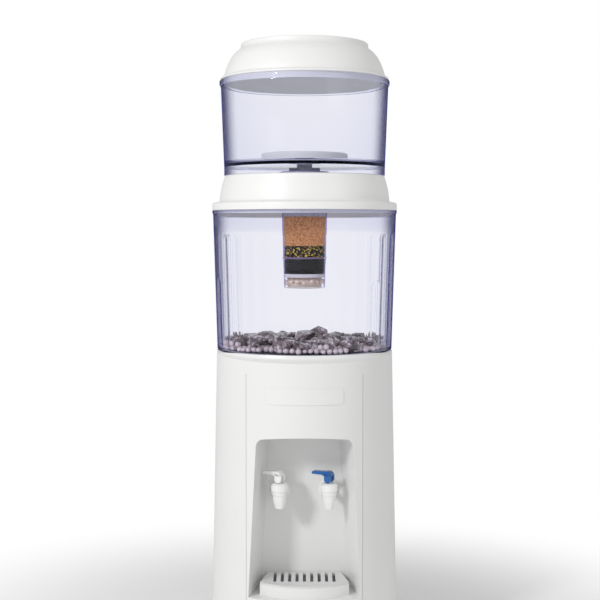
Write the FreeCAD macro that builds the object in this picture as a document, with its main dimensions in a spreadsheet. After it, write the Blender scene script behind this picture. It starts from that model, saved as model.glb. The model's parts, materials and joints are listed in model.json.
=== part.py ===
import FreeCAD, Part
import os
import Sketcher

# Gravity water filter standing on a small water dispenser with two taps.
# Millimetres. +Z is up, the taps face -Y, and the origin is under the middle of the base.

Vector = FreeCAD.Vector
Bond = Sketcher.Constraint

# Driving sizes, one for each length that can be set by itself
SIZES = {
    # dispenser housing
    "dispenser_height": 490.0,
    "base_half_width": 157.0,
    "top_half_width": 147.0,
    "front_bulge": 13.0,
    "front_margin": 30.0,
    "back_reach": 162.0,
    "back_corner": 45.0,
    "shell_wall": 3.0,
    "collar_depth": 28.0,
    "collar_plate": 5.0,
    "bevel_drop": 9.0,
    "seam_half_width": 93.0,
    "seam_gap": 0.4,
    "panel_low": 24.0,
    "foot_height": 6.0,
    "foot_radius": 14.0,
    "foot_inset": 35.0,
    "front_foot_share": 0.8,
    "base_thickness": 4.0,
    "vent_width": 90.0,
    "vent_height": 5.0,
    "vent_pitch": 12.0,
    "vent_count": 12,
    "vent_low": 150.0,
    # recess that the taps stand in; its top counts down from the housing's top
    "alcove_top": 130.0,
    "alcove_floor": 104.0,
    "alcove_arch": 4.0,
    "alcove_back": 60.0,
    "alcove_mouth": 135.0,
    "alcove_top_half_width": 76.0,
    "alcove_low_half_width": 89.0,
    "alcove_taper": 17.5,
    "alcove_corner": 14.0,
    "alcove_wall": 3.0,
    # bare name plate; its middle counts down from the housing's top
    "plate_half_width": 62.0,
    "plate_height": 26.0,
    "plate_middle": 61.0,
    "plate_thickness": 0.8,
    "plate_corner": 6.0,
    # taps; their height counts down from the housing's top
    "tap_spacing": 80.0,
    "tap_height": 227.0,
    "tap_reach": 48.0,
    "shank_radius": 8.0,
    "shank_bore": 3.2,
    "arm_radius": 5.2,
    "shank_tail": 22.0,
    "nut_across": 24.0,
    "nut_thickness": 7.0,
    "flange_radius": 17.5,
    "flange_thickness": 4.0,
    "barrel_radius": 11.4,
    "barrel_top": 5.5,
    "barrel_taper": 8.0,
    "spout_radius": 7.7,
    "spout_drop": 22.0,
    "spout_bore": 5.2,
    "seat_thickness": 2.0,
    "bonnet_radius": 14.1,
    "bonnet_height": 14.0,
    "bonnet_wall": 3.0,
    "stem_radius": 3.0,
    "stem_clearance": 0.3,
    "port_clearance": 1.0,
    "spring_seat": 1.5,
    "spring_clearance": 0.5,
    "seal_radius": 7.0,
    "seal_height": 5.0,
    "pin_radius": 1.5,
    "pin_height": 6.5,
    "lever_width": 17.0,
    "lever_slot": 7.0,
    "heel_reach": 6.0,
    "slot_reach": 7.5,
    "paddle_root": 9.6,
    "lever_crown": 1.0,
    "pin_inset": 0.5,
    "heel_height": 18.5,
    "paddle_reach": 28.7,
    "paddle_width": 12.0,
    "paddle_thickness": 5.5,
    "lever_turn": 115.0,
    # drip tray
    "tray_height": 18.0,
    "tray_half_width": 72.0,
    "tray_back_half_width": 60.0,
    "tray_front": 154.0,
    "tray_wall": 2.5,
    "tray_back_gap": 1.0,
    "tray_turn": 10.0,
    "slit_end": 12.0,
    "grille_thickness": 3.0,
    "grille_slot": 5.0,
    "grille_pitch": 12.0,
    "grille_count": 9,
    # inner tank and its cooling unit; the two low ends count down from the housing's top
    "reservoir_radius": 75.0,
    "reservoir_wall": 2.0,
    "reservoir_back": 25.0,
    "reservoir_low": 138.0,
    "port_forward": 20.0,
    "port_radius": 4.0,
    "port_length": 6.0,
    "hose_wall": 2.0,
    "hose_bend": 13.0,
    "baffle_height": 58.0,
    "baffle_thickness": 2.0,
    "jacket_thickness": 13.0,
    "jacket_low": 120.0,
    "jacket_height": 80.0,
    "cooler_back": 45.0,
    "block_width": 60.0,
    "block_height": 20.0,
    "module_width": 40.0,
    "module_height": 4.0,
    "sink_width": 100.0,
    "sink_base": 5.0,
    "fin_depth": 30.0,
    "fin_thickness": 1.6,
    "fin_count": 13,
    "fan_width": 90.0,
    "fan_depth": 22.0,
    "fan_plate": 5.5,
    "fan_rim": 2.0,
    "fan_gap": 1.0,
    "air_hole_width": 6.0,
    "air_hole_count": 12,
    "fan_bore": 42.0,
    "fan_clearance": 2.0,
    "hub_radius": 16.0,
    "fan_shaft": 2.0,
    "shaft_clearance": 0.05,
    "blade_count": 7,
    "blade_chord": 18.0,
    "blade_thickness": 2.0,
    "funnel_radius": 34.0,
    "funnel_wall": 3.0,
    "funnel_depth": 26.0,
    # power entry and switch on the back
    "inlet_width": 28.0,
    "inlet_height": 20.0,
    "inlet_depth": 18.0,
    "inlet_flange": 4.0,
    "entry_height": 70.0,
    "entry_spacing": 90.0,
    "switch_width": 15.0,
    "switch_height": 21.0,
    "switch_depth": 16.0,
    "pivot_depth": 2.5,
    "pivot_gap": 0.2,
    "rocker_root": 5.0,
    "rocker_root_width": 4.0,
    "rocker_high": 4.5,
    "rocker_middle": 2.0,
    "rocker_low": 0.5,
    "rocker_skin": 1.0,
    "rocker_side_gap": 0.5,
    "rocker_end_gap": 1.6,
    # lower tank; its foot's radius counts in from the wall's top, and the rim is a bead standing out
    "lower_tank_height": 234.0,
    "lower_top_radius": 153.7,
    "lower_foot_radius": 6.7,
    "lower_wall": 5.0,
    "lower_floor": 5.0,
    "tank_foot_bevel": 4.0,
    "rim_radius": 1.3,
    "rim_height": 6.0,
    "flute_count": 33,
    "flute_width": 24.0,
    "flute_depth": 2.0,
    "flute_low": 8.0,
    "flute_top": 198.0,
    "neck_radius": 27.5,
    "neck_wall": 2.5,
    "neck_length": 50.0,
    "strainer_height": 12.0,
    "strainer_drop": 4.0,
    "strainer_lip": 4.0,
    "strainer_wall": 2.0,
    "bed_ring_gap": 1.0,
    "bed_wall_gap": 0.5,
    "stone_bed_height": 26.0,
    "ball_bed_height": 14.0,
    # cover between the tanks; its radii count in from the lower tank's rim
    "cover_height": 58.0,
    "cover_top_radius": 20.2,
    "cover_waist_radius": 12.3,
    "cover_wall": 3.5,
    "cover_flange_height": 13.0,
    "cover_hole": 45.0,
    "hole_lip": 8.0,
    "lip_bevel": 2.0,
    "flange_round": 4.5,
    "flange_slope": 1.0,
    "waist_round": 4.0,
    "plateau_round": 3.0,
    "cover_bulge": 1.2,
    "seat_clearance": 0.4,
    "lip_depth": 8.0,
    # upper tank; its radii count in from the lower tank's rim
    "upper_tank_height": 158.0,
    "upper_low_radius": 20.2,
    "upper_top_radius": 15.0,
    "upper_wall": 3.5,
    "upper_floor": 4.0,
    "upper_skirt": 15.0,
    "bead_radius": 12.3,
    "bead_height": 9.0,
    "bead_bulge": 1.0,
    "bowl_round": 4.0,
    # stage of porous ceramic on the upper floor
    "ceramic_radius": 72.5,
    "ceramic_height": 13.5,
    "ceramic_bevel": 5.0,
    "holder_thickness": 3.5,
    "holder_stem": 8.0,
    "holder_lip": 1.0,
    "stem_bore": 3.0,
    "stem_length": 30.0,
    "gasket_radius": 16.0,
    "gasket_thickness": 1.5,
    "wing_nut_radius": 13.0,
    "wing_nut_height": 7.0,
    "wing_thickness": 4.0,
    "wing_step": 1.0,
    # cartridge under the upper tank
    "cartridge_top_radius": 39.5,
    "cartridge_low_radius": 35.6,
    "cartridge_wall": 2.0,
    "cartridge_length": 195.0,
    "cartridge_cap_height": 14.0,
    "cap_wall": 4.0,
    "cap_gap": 1.0,
    "cap_boss_depth": 4.0,
    "cap_boss_wall": 3.0,
    "cap_lip": 3.0,
    "cap_bevel": 2.0,
    "media_gap": 0.1,
    "drain_start": 6.0,
    "drain_width": 2.0,
    "foam_height": 10.0,
    "orange_height": 51.6,
    "speckled_height": 19.7,
    "divider_height": 2.0,
    "carbon_height": 25.4,
    "pad_height": 5.8,
    "bead_bed_height": 16.0,
    "grid_height": 2.0,
    "drain_count": 12,
    # lid; its radii count in from the lower tank's rim
    "lid_height": 61.0,
    "lid_skirt_radius": 18.5,
    "lid_ring_radius": 48.5,
    "lid_ring_height": 8.0,
    "lid_ring_width": 7.0,
    "lid_recess": 10.0,
    "lid_wall": 3.0,
    "lid_plug_depth": 7.0,
    "plug_bevel": 1.0,
    "lid_overhang": 2.0,
    "ring_round": 2.0,
    "ring_step": 1.5,
    "recess_bevel": 4.0,
    "dome_bulge": 5.0,
}

# Heights and radii that follow from the driving sizes
DERIVED = {
    "alcove_peak": "dispenser_height - alcove_top",
    "plate_level": "dispenser_height - plate_middle",
    "tap_level": "dispenser_height - tap_height",
    "reservoir_floor": "dispenser_height - reservoir_low",
    "jacket_floor": "dispenser_height - jacket_low",
    "tank_foot_reach": "lower_top_radius - lower_foot_radius",
    "rim_reach": "lower_top_radius + rim_radius",
    "waist_reach": "rim_reach - cover_waist_radius",
    "plateau_reach": "rim_reach - cover_top_radius",
    "bowl_foot_reach": "rim_reach - upper_low_radius",
    "bowl_top_reach": "rim_reach - upper_top_radius",
    "bead_reach": "rim_reach - bead_radius",
    "lid_skirt_reach": "rim_reach - lid_skirt_radius",
    "lid_ring_reach": "rim_reach - lid_ring_radius",
}

document = FreeCAD.newDocument("water_filter")
sheet = document.addObject("Spreadsheet::Sheet", "size")
contents = {alias: str(value) for alias, value in SIZES.items()}
contents.update({alias: "=" + formula for alias, formula in DERIVED.items()})
for row, (alias, content) in enumerate(contents.items(), start=1):
    sheet.set(f"A{row}", alias)
    sheet.set(f"B{row}", content)
    sheet.setAlias(f"B{row}", alias)
document.recompute()

nodes = []


def f(text):
    """A formula over the sheet: every word that is a size's name is looked up there."""
    words = []
    word = ""
    for letter in str(text) + " ":
        if letter.isalnum() or letter in "_.":
            word += letter
            continue
        words.append(f"size.{word}" if word in contents else word)
        words.append(letter)
        word = ""
    return "".join(words).strip()


def number(text):
    """The value of a formula, as a plain number."""
    result = sheet.evalExpression(f(text).replace("size.", ""))
    return float(getattr(result, "Value", result))


def set_size(thing, name, text):
    """Binds one property to the sheet."""
    thing.setExpression(name, f(text))


def place(thing, x="0", y="0", z="0", turn=None):
    """Puts a sub-part at a place, turned about the vertical by turn degrees."""
    if turn is not None:
        thing.Placement = FreeCAD.Placement(Vector(), FreeCAD.Rotation(Vector(0, 0, 1), number(turn)))
        set_size(thing, "Placement.Rotation.Angle", turn)
    for axis, text in zip("xyz", (x, y, z)):
        if text != "0":
            set_size(thing, f"Placement.Base.{axis}", text)


def keep(thing, label):
    """Marks an object as a finished sub-part under its own name."""
    thing.Label = label
    nodes.append(thing)
    return thing


def new_body(name):
    return document.addObject("PartDesign::Body", name)


def plane_sketch(body, name, role, offset="0", tilt=None):
    """An empty sketch on one of the body's own planes, moved along its normal."""
    sketch = body.newObject("Sketcher::SketchObject", name)
    plane = [item for item in body.Origin.OriginFeatures if item.Role == role][0]
    sketch.AttachmentSupport = (plane, [""])
    sketch.MapMode = "FlatFace"
    if tilt is not None:
        turned_by = FreeCAD.Rotation(Vector(1, 0, 0), number(tilt))
        sketch.AttachmentOffset = FreeCAD.Placement(Vector(), turned_by)
        set_size(sketch, "AttachmentOffset.Rotation.Angle", tilt)
    if offset != "0":
        set_size(sketch, "AttachmentOffset.Base.z", offset)
    return sketch


def pin_point(sketch, geometry, end, x, y):
    """Ties one point of a sketch to a pair of formulas."""
    for kind, text, axis in (("DistanceX", x, -2), ("DistanceY", y, -1)):
        if text == "0":
            sketch.addConstraint(Bond("PointOnObject", geometry, end, axis))
            continue
        tie = sketch.addConstraint(Bond(kind, -1, 1, geometry, end, number(text)))
        sketch.setExpression(f"Constraints[{tie}]", f(text))


def outline(sketch, corners, arcs=None):
    """A closed line through corners; arcs gives the middle point of each edge that is an arc."""
    arcs = arcs or {}
    points = [Vector(number(x), number(y), 0) for x, y in corners]
    edges = []
    for index, start in enumerate(points):
        end = points[(index + 1) % len(points)]
        ends = (1, 2)
        curve = Part.LineSegment(start, end)
        if index in arcs:
            middle = Vector(number(arcs[index][0]), number(arcs[index][1]), 0)
            curve = Part.Arc(start, middle, end)
            if (middle - start).cross(end - middle).z < 0:
                curve = Part.Arc(end, middle, start)
                ends = (2, 1)
        edges.append((sketch.addGeometry(curve), ends))
    for index, (edge, ends) in enumerate(edges):
        after, after_ends = edges[(index + 1) % len(edges)]
        sketch.addConstraint(Bond("Coincident", edge, ends[1], after, after_ends[0]))
    for (edge, ends), (x, y) in zip(edges, corners):
        pin_point(sketch, edge, ends[0], x, y)
    for index, (x, y) in arcs.items():
        middle = sketch.addGeometry(Part.Point(Vector(number(x), number(y), 0)), True)
        pin_point(sketch, middle, 1, x, y)
        sketch.addConstraint(Bond("PointOnObject", middle, 1, edges[index][0]))


def circle(sketch, radius, x="0", y="0"):
    """A circle of a bound radius about a bound middle."""
    middle = Vector(number(x), number(y), 0)
    ring = sketch.addGeometry(Part.Circle(middle, Vector(0, 0, 1), number(radius)))
    pin_point(sketch, ring, 3, x, y)
    tie = sketch.addConstraint(Bond("Radius", ring, number(radius)))
    sketch.setExpression(f"Constraints[{tie}]", f(radius))


def block(sketch, left, right, low, high):
    outline(sketch, [(left, low), (right, low), (right, high), (left, high)])


def spin(body, name, corners, arcs=None, kind="Revolution", angle=360):
    """Turns a half section about the body's vertical axis, as material or as a cut."""
    sketch = plane_sketch(body, name + "_section", "XZ_Plane")
    outline(sketch, corners, arcs)
    turned = body.newObject("PartDesign::" + kind, name)
    turned.Profile = sketch
    turned.ReferenceAxis = (sketch, ["V_Axis"])
    turned.Angle = angle
    return turned


def raise_from(body, name, sketch, length, kind="Pad", back=False):
    """Pads or pockets a sketch by a bound length; back turns it the other way."""
    sketch.Visibility = False
    feature = body.newObject("PartDesign::" + kind, name)
    feature.Profile = sketch
    feature.Reversed = back
    set_size(feature, "Length", length)
    return feature


def turned_part(label, corners, arcs=None, x="0", y="0", z="0", turn=None):
    """A whole sub-part that is one turned section."""
    body = new_body(label)
    spin(body, label + "_turned", corners, arcs)
    place(body, x, y, z, turn)
    return keep(body, label)


def circle_pattern(body, name, feature, sketch, count):
    """Repeats a feature about the body's vertical axis."""
    pattern = body.newObject("PartDesign::PolarPattern", name)
    pattern.Originals = [feature]
    pattern.Axis = (sketch, ["V_Axis"])
    pattern.Angle = 360
    set_size(pattern, "Occurrences", count)
    body.Tip = pattern
    return pattern


def row_pattern(body, name, feature, sketch, axis, length, count):
    """Repeats a feature along a sketch axis."""
    pattern = body.newObject("PartDesign::LinearPattern", name)
    pattern.Originals = [feature]
    pattern.Direction = (sketch, [axis])
    set_size(pattern, "Length", length)
    set_size(pattern, "Occurrences", count)
    body.Tip = pattern
    return pattern


def combine(kind, name, first, second):
    """A boolean of two objects: Cut, Fuse or Common."""
    result = document.addObject("Part::" + kind, name)
    result.Base = first
    result.Tool = second
    return result


# Housing outline: a half circle in front, straight sides and a flat back with round corners

def housing_half_width(height):
    return f"(base_half_width - (base_half_width - top_half_width) * ({height}) / dispenser_height)"


def plan_outline(sketch, height, inset):
    side = f"({housing_half_width(height)} - ({inset}))"
    back = f"(back_reach - ({inset}))"
    corner = f"(back_corner - ({inset}))"
    bent = f"{corner} * (1 - sqrt(0.5))"
    corners = [
        (f"-{side}", "-front_bulge"),
        (side, "-front_bulge"),
        (side, f"{back} - {corner}"),
        (f"{side} - {corner}", back),
        (f"-({side} - {corner})", back),
        (f"-{side}", f"{back} - {corner}"),
    ]
    arcs = {
        0: ("0", f"-front_bulge - {side}"),
        2: (f"{side} - {bent}", f"{back} - {bent}"),
        4: (f"-({side} - {bent})", f"{back} - {bent}"),
    }
    outline(sketch, corners, arcs)


def plan_loft(body, name, low, high, inset="0", kind="AdditiveLoft"):
    """The housing's outline carried from one height to another, drawn in by inset."""
    lower = plane_sketch(body, name + "_low", "XY_Plane", low)
    plan_outline(lower, low, inset)
    upper = plane_sketch(body, name + "_high", "XY_Plane", high)
    plan_outline(upper, high, inset)
    loft = body.newObject("PartDesign::" + kind, name)
    loft.Profile = lower
    loft.Sections = [upper]
    loft.Ruled = True
    return loft


COLLAR_LOW = "(dispenser_height - collar_depth)"
SEAM_EDGE = "(seam_half_width + seam_gap)"
WINDOW_TOP = f"({COLLAR_LOW} + shell_wall)"
BASE_LOW = "foot_height"

# Outer shell: sides and back, open in front between the two seams

shell = new_body("outer_shell")
plan_loft(shell, "shell_outside", BASE_LOW, COLLAR_LOW)
plan_loft(shell, "shell_inside", BASE_LOW, COLLAR_LOW, "shell_wall", "SubtractiveLoft")
window = plane_sketch(shell, "window", "XZ_Plane")
block(window, f"-{SEAM_EDGE}", SEAM_EDGE, "panel_low - seam_gap", WINDOW_TOP)
raise_from(shell, "front_window", window, "2 * base_half_width", "Pocket", back=True)
vent = plane_sketch(shell, "vent", "XZ_Plane")
block(vent, "-vent_width / 2", "vent_width / 2", "vent_low", "vent_low + vent_height")
vent_cut = raise_from(shell, "vent_cut", vent, "2 * back_reach", "Pocket")
row_pattern(shell, "vent_row", vent_cut, vent, "V_Axis", "vent_pitch * (vent_count - 1)", "vent_count")
ENTRY_EDGE = "seat_clearance"
for entry, side in (("inlet", "-"), ("switch", "")):
    opening = plane_sketch(shell, entry + "_opening", "XZ_Plane")
    middle = f"({side}entry_spacing / 2)"
    block(
        opening,
        f"{middle} - {entry}_width / 2 - {ENTRY_EDGE}",
        f"{middle} + {entry}_width / 2 + {ENTRY_EDGE}",
        f"entry_height - {entry}_height / 2 - {ENTRY_EDGE}",
        f"entry_height + {entry}_height / 2 + {ENTRY_EDGE}",
    )
    raise_from(shell, entry + "_opening_cut", opening, "2 * back_reach", "Pocket")
keep(shell, "outer_shell")

# Recess: a tapering box with an arched top, wider at its mouth than at its back

def alcove_solid(name, back_depth, front_depth, grow):
    """The recess between two depths in front of the axis, grown by a wall on every side."""
    body = new_body(name)
    sections = []
    for end, depth in (("back", back_depth), ("front", front_depth)):
        spread = f"alcove_taper * (({depth}) - alcove_mouth) / (alcove_mouth - alcove_back) + {grow}"
        top = f"(alcove_top_half_width + {spread})"
        low = f"(alcove_low_half_width + {spread})"
        sketch = plane_sketch(body, f"{name}_{end}", "XZ_Plane", depth)
        corners = [
            (f"-{low}", f"alcove_floor - {grow}"),
            (low, f"alcove_floor - {grow}"),
            (top, f"alcove_peak + {grow} - alcove_corner"),
            (f"{top} - alcove_corner", f"alcove_peak + {grow}"),
            (f"-({top} - alcove_corner)", f"alcove_peak + {grow}"),
            (f"-{top}", f"alcove_peak + {grow} - alcove_corner"),
        ]
        bent = "alcove_corner * (1 - sqrt(0.5))"
        arcs = {
            2: (f"{top} - {bent}", f"alcove_peak + {grow} - {bent}"),
            3: ("0", f"alcove_peak + {grow} + alcove_arch"),
            4: (f"-({top} - {bent})", f"alcove_peak + {grow} - {bent}"),
        }
        outline(sketch, corners, arcs)
        sections.append(sketch)
    loft = body.newObject("PartDesign::AdditiveLoft", name + "_loft")
    loft.Profile = sections[0]
    loft.Sections = [sections[1]]
    loft.Ruled = True
    return body


FRONT_CLEAR = "(base_half_width + front_bulge + front_margin)"
BACK_FACE = "(alcove_back - alcove_wall)"

# Front panel: the part of the housing wall between the seams, with the recess moulded in

skin = new_body("panel_skin")
plan_loft(skin, "skin_outside", "panel_low", COLLAR_LOW)
plan_loft(skin, "skin_inside", "panel_low", COLLAR_LOW, "shell_wall", "SubtractiveLoft")
span = document.addObject("Part::Box", "panel_span")
set_size(span, "Length", "2 * seam_half_width")
set_size(span, "Width", FRONT_CLEAR)
set_size(span, "Height", "dispenser_height")
place(span, "-seam_half_width", f"-{FRONT_CLEAR} - front_bulge")
front_skin = combine("Common", "front_skin", skin, span)
housing = new_body("housing_form")
plan_loft(housing, "housing_outside", "panel_low", COLLAR_LOW)
liner = alcove_solid("liner_form", BACK_FACE, FRONT_CLEAR, "alcove_wall")
liner_inside = combine("Common", "liner_inside", liner, housing)
panel_blank = combine("Fuse", "panel_blank", front_skin, liner_inside)
hollow = alcove_solid("recess_form", "alcove_back", FRONT_CLEAR, "0")
panel_open = combine("Cut", "panel_open", panel_blank, hollow)
shank_holes = new_body("shank_holes")
hole_sketch = plane_sketch(shank_holes, "shank_hole_circles", "XZ_Plane")
for side in ("-", ""):
    circle(hole_sketch, "shank_radius + stem_clearance", f"{side}tap_spacing / 2", "tap_level")
raise_from(shank_holes, "shank_hole_bars", hole_sketch, FRONT_CLEAR)
keep(combine("Cut", "front_panel", panel_open, shank_holes), "front_panel")

# Bare plate that follows the curve of the panel

plate_skin = new_body("plate_skin")
PLATE_LOW = "plate_level - plate_height"
PLATE_HIGH = "plate_level + plate_height"
plan_loft(plate_skin, "plate_outside", PLATE_LOW, PLATE_HIGH, "0 - plate_thickness")
plan_loft(plate_skin, "plate_inside", PLATE_LOW, PLATE_HIGH, "0", "SubtractiveLoft")
plate_bar = new_body("plate_bar")
plate_sketch = plane_sketch(plate_bar, "plate_outline", "XZ_Plane")
PLATE_X = "plate_half_width"
PLATE_BEND = "plate_corner * (1 - sqrt(0.5))"
PLATE_BASE = "(plate_level - plate_height / 2)"
PLATE_TOP = "(plate_level + plate_height / 2)"
outline(
    plate_sketch,
    [
        (f"-({PLATE_X} - plate_corner)", PLATE_BASE),
        (f"{PLATE_X} - plate_corner", PLATE_BASE),
        (PLATE_X, f"{PLATE_BASE} + plate_corner"),
        (PLATE_X, f"{PLATE_TOP} - plate_corner"),
        (f"{PLATE_X} - plate_corner", PLATE_TOP),
        (f"-({PLATE_X} - plate_corner)", PLATE_TOP),
        (f"-{PLATE_X}", f"{PLATE_TOP} - plate_corner"),
        (f"-{PLATE_X}", f"{PLATE_BASE} + plate_corner"),
    ],
    {
        1: (f"{PLATE_X} - {PLATE_BEND}", f"{PLATE_BASE} + {PLATE_BEND}"),
        3: (f"{PLATE_X} - {PLATE_BEND}", f"{PLATE_TOP} - {PLATE_BEND}"),
        5: (f"-({PLATE_X} - {PLATE_BEND})", f"{PLATE_TOP} - {PLATE_BEND}"),
        7: (f"-({PLATE_X} - {PLATE_BEND})", f"{PLATE_BASE} + {PLATE_BEND}"),
    },
)
raise_from(plate_bar, "plate_bar_pad", plate_sketch, FRONT_CLEAR)
keep(combine("Common", "name_plate", plate_skin, plate_bar), "name_plate")

# Top collar: carries the filter, with a crescent bevel in front and a funnel in the middle

collar = new_body("top_collar")
plan_loft(collar, "collar_outside", COLLAR_LOW, "dispenser_height")
PLATE_UNDER = "(dispenser_height - collar_plate)"
plan_loft(collar, "collar_inside", COLLAR_LOW, PLATE_UNDER, "shell_wall", "SubtractiveLoft")
TUBE_LOW = "(dispenser_height - collar_plate - funnel_depth)"
spin(collar, "funnel_tube", [
    ("funnel_radius", TUBE_LOW),
    ("funnel_radius + funnel_wall", TUBE_LOW),
    ("funnel_radius + funnel_wall", PLATE_UNDER),
    ("funnel_radius", PLATE_UNDER),
])
spin(collar, "funnel_mouth", [
    ("0", PLATE_UNDER),
    ("funnel_radius", PLATE_UNDER),
    ("funnel_radius", "dispenser_height - collar_plate / 2"),
    ("funnel_radius + collar_plate / 2", "dispenser_height"),
    ("0", "dispenser_height"),
], kind="Groove")
BEVEL_RUN = "(base_half_width + front_bulge)"
bevel = spin(collar, "front_bevel", [
    ("top_half_width", "dispenser_height"),
    (BEVEL_RUN, f"dispenser_height - bevel_drop * ({BEVEL_RUN} - top_half_width) / front_bulge"),
    (BEVEL_RUN, "dispenser_height"),
], kind="Groove", angle=180)
bevel.Reversed = True
keep(collar, "top_collar")

# Base plate and feet

base = new_body("base_plate")
PLATE_INSET = "shell_wall + seam_gap"
plan_loft(base, "base_form", BASE_LOW, f"{BASE_LOW} + base_thickness", PLATE_INSET)
keep(base, "base_plate")

feet = new_body("feet")
foot_sketch = plane_sketch(feet, "foot_circles", "XY_Plane")
FOOT_SIDE = "(base_half_width - foot_inset)"
FOOT_BACK = "(back_reach - foot_inset)"
FOOT_PLACES = (
    (f"-{FOOT_SIDE}", FOOT_BACK),
    (FOOT_SIDE, FOOT_BACK),
    (f"-{FOOT_SIDE} * front_foot_share", f"-{FOOT_BACK} * front_foot_share"),
    (f"{FOOT_SIDE} * front_foot_share", f"-{FOOT_BACK} * front_foot_share"),
)
for x, y in FOOT_PLACES:
    circle(foot_sketch, "foot_radius", x, y)
raise_from(feet, "foot_pads", foot_sketch, "foot_height")
keep(feet, "feet")

# Inner tank under the funnel, its baffle and its foam jacket

RESERVOIR_TOP = PLATE_UNDER
reservoir = new_body("inner_reservoir")
spin(reservoir, "reservoir_cup", [
    ("0", "reservoir_floor"),
    ("reservoir_radius", "reservoir_floor"),
    ("reservoir_radius", RESERVOIR_TOP),
    ("reservoir_radius - reservoir_wall", RESERVOIR_TOP),
    ("reservoir_radius - reservoir_wall", "reservoir_floor + reservoir_wall"),
    ("0", "reservoir_floor + reservoir_wall"),
])
PORT_Y = "(-reservoir_back - port_forward)"
port_sketch = plane_sketch(reservoir, "port_circles", "XY_Plane", "reservoir_floor")
for side in ("-", ""):
    circle(port_sketch, "port_radius + hose_wall", f"{side}tap_spacing / 2", PORT_Y)
raise_from(reservoir, "port_bosses", port_sketch, "port_length", back=True)
bore_sketch = plane_sketch(reservoir, "port_bores", "XY_Plane", "reservoir_floor + 2 * reservoir_wall")
for side in ("-", ""):
    circle(bore_sketch, "port_radius", f"{side}tap_spacing / 2", PORT_Y)
raise_from(reservoir, "port_drilling", bore_sketch, "2 * port_length + 2 * reservoir_wall", "Pocket")
place(reservoir, y="reservoir_back")
keep(reservoir, "inner_reservoir")

baffle = new_body("reservoir_baffle")
BAFFLE_LOW = "(reservoir_floor + baffle_height)"
spin(baffle, "baffle_disc", [
    ("barrel_radius", BAFFLE_LOW),
    ("reservoir_radius - reservoir_wall - seat_clearance", BAFFLE_LOW),
    ("reservoir_radius - reservoir_wall - seat_clearance", f"{BAFFLE_LOW} + baffle_thickness"),
    ("barrel_radius", f"{BAFFLE_LOW} + baffle_thickness"),
])
stand_sketch = plane_sketch(baffle, "standpipe_circle", "XY_Plane", "reservoir_floor + reservoir_wall")
circle(stand_sketch, "port_radius + hose_wall", "-tap_spacing / 2", PORT_Y)
raise_from(baffle, "standpipe", stand_sketch, "baffle_height - reservoir_wall + 2 * baffle_thickness")
pipe_sketch = plane_sketch(baffle, "standpipe_bore", "XY_Plane", "reservoir_floor")
circle(pipe_sketch, "port_radius", "-tap_spacing / 2", PORT_Y)
raise_from(baffle, "standpipe_drilling", pipe_sketch, "2 * baffle_height", "Pocket", back=True)
place(baffle, y="reservoir_back")
keep(baffle, "reservoir_baffle")

turned_part("foam_jacket", [
    ("reservoir_radius", "jacket_floor"),
    ("reservoir_radius + jacket_thickness", "jacket_floor"),
    ("reservoir_radius + jacket_thickness", "jacket_floor + jacket_height"),
    ("reservoir_radius", "jacket_floor + jacket_height"),
], y="reservoir_back")

# Cooling unit under the inner tank: block, thermoelectric module, finned sink and fan

def square_part(label, width, low, height):
    body = new_body(label)
    sketch = plane_sketch(body, label + "_square", "XY_Plane", low)
    block(sketch, f"-{width} / 2", f"{width} / 2", f"-{width} / 2", f"{width} / 2")
    raise_from(body, label + "_pad", sketch, height)
    place(body, y="cooler_back")
    return keep(body, label)


BLOCK_LOW = "(reservoir_floor - block_height)"
MODULE_LOW = f"({BLOCK_LOW} - module_height)"
SINK_LOW = f"({MODULE_LOW} - sink_base)"
FIN_LOW = f"({SINK_LOW} - fin_depth)"
FAN_LOW = f"({FIN_LOW} - fan_depth)"
square_part("cold_block", "block_width", BLOCK_LOW, "block_height")
square_part("thermoelectric_module", "module_width", MODULE_LOW, "module_height")
sink = square_part("heat_sink", "sink_width", SINK_LOW, "sink_base")
fin = plane_sketch(sink, "fin", "XY_Plane", SINK_LOW)
block(fin, "-sink_width / 2", "fin_thickness - sink_width / 2", "-sink_width / 2", "sink_width / 2")
fin_pad = raise_from(sink, "fin_pad", fin, "fin_depth", back=True)
row_pattern(sink, "fin_row", fin_pad, fin, "H_Axis", "sink_width - fin_thickness", "fin_count")

fan = square_part("fan_frame", "fan_width", FAN_LOW, "fan_depth")
fan_hole = plane_sketch(fan, "fan_hole", "XY_Plane", f"{FAN_LOW} + fan_plate")
circle(fan_hole, "fan_bore")
raise_from(fan, "fan_opening", fan_hole, "fan_depth", "Pocket", back=True)
air_hole = plane_sketch(fan, "air_hole", "XY_Plane", f"{FAN_LOW} + fan_plate")
block(air_hole, "hub_radius", "fan_bore - fan_rim", "-air_hole_width / 2", "air_hole_width / 2")
air_cut = raise_from(fan, "air_cut", air_hole, "fan_depth", "Pocket")
air_holes = fan.newObject("PartDesign::PolarPattern", "air_holes")
air_holes.Originals = [air_cut]
air_holes.Axis = (air_hole, ["N_Axis"])
air_holes.Angle = 360
set_size(air_holes, "Occurrences", "air_hole_count")
fan.Tip = air_holes

shaft_hole = plane_sketch(fan, "shaft_hole", "XY_Plane", f"{FAN_LOW} + fan_plate")
circle(shaft_hole, "fan_shaft + shaft_clearance")
raise_from(fan, "shaft_drilling", shaft_hole, "fan_depth", "Pocket")

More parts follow.
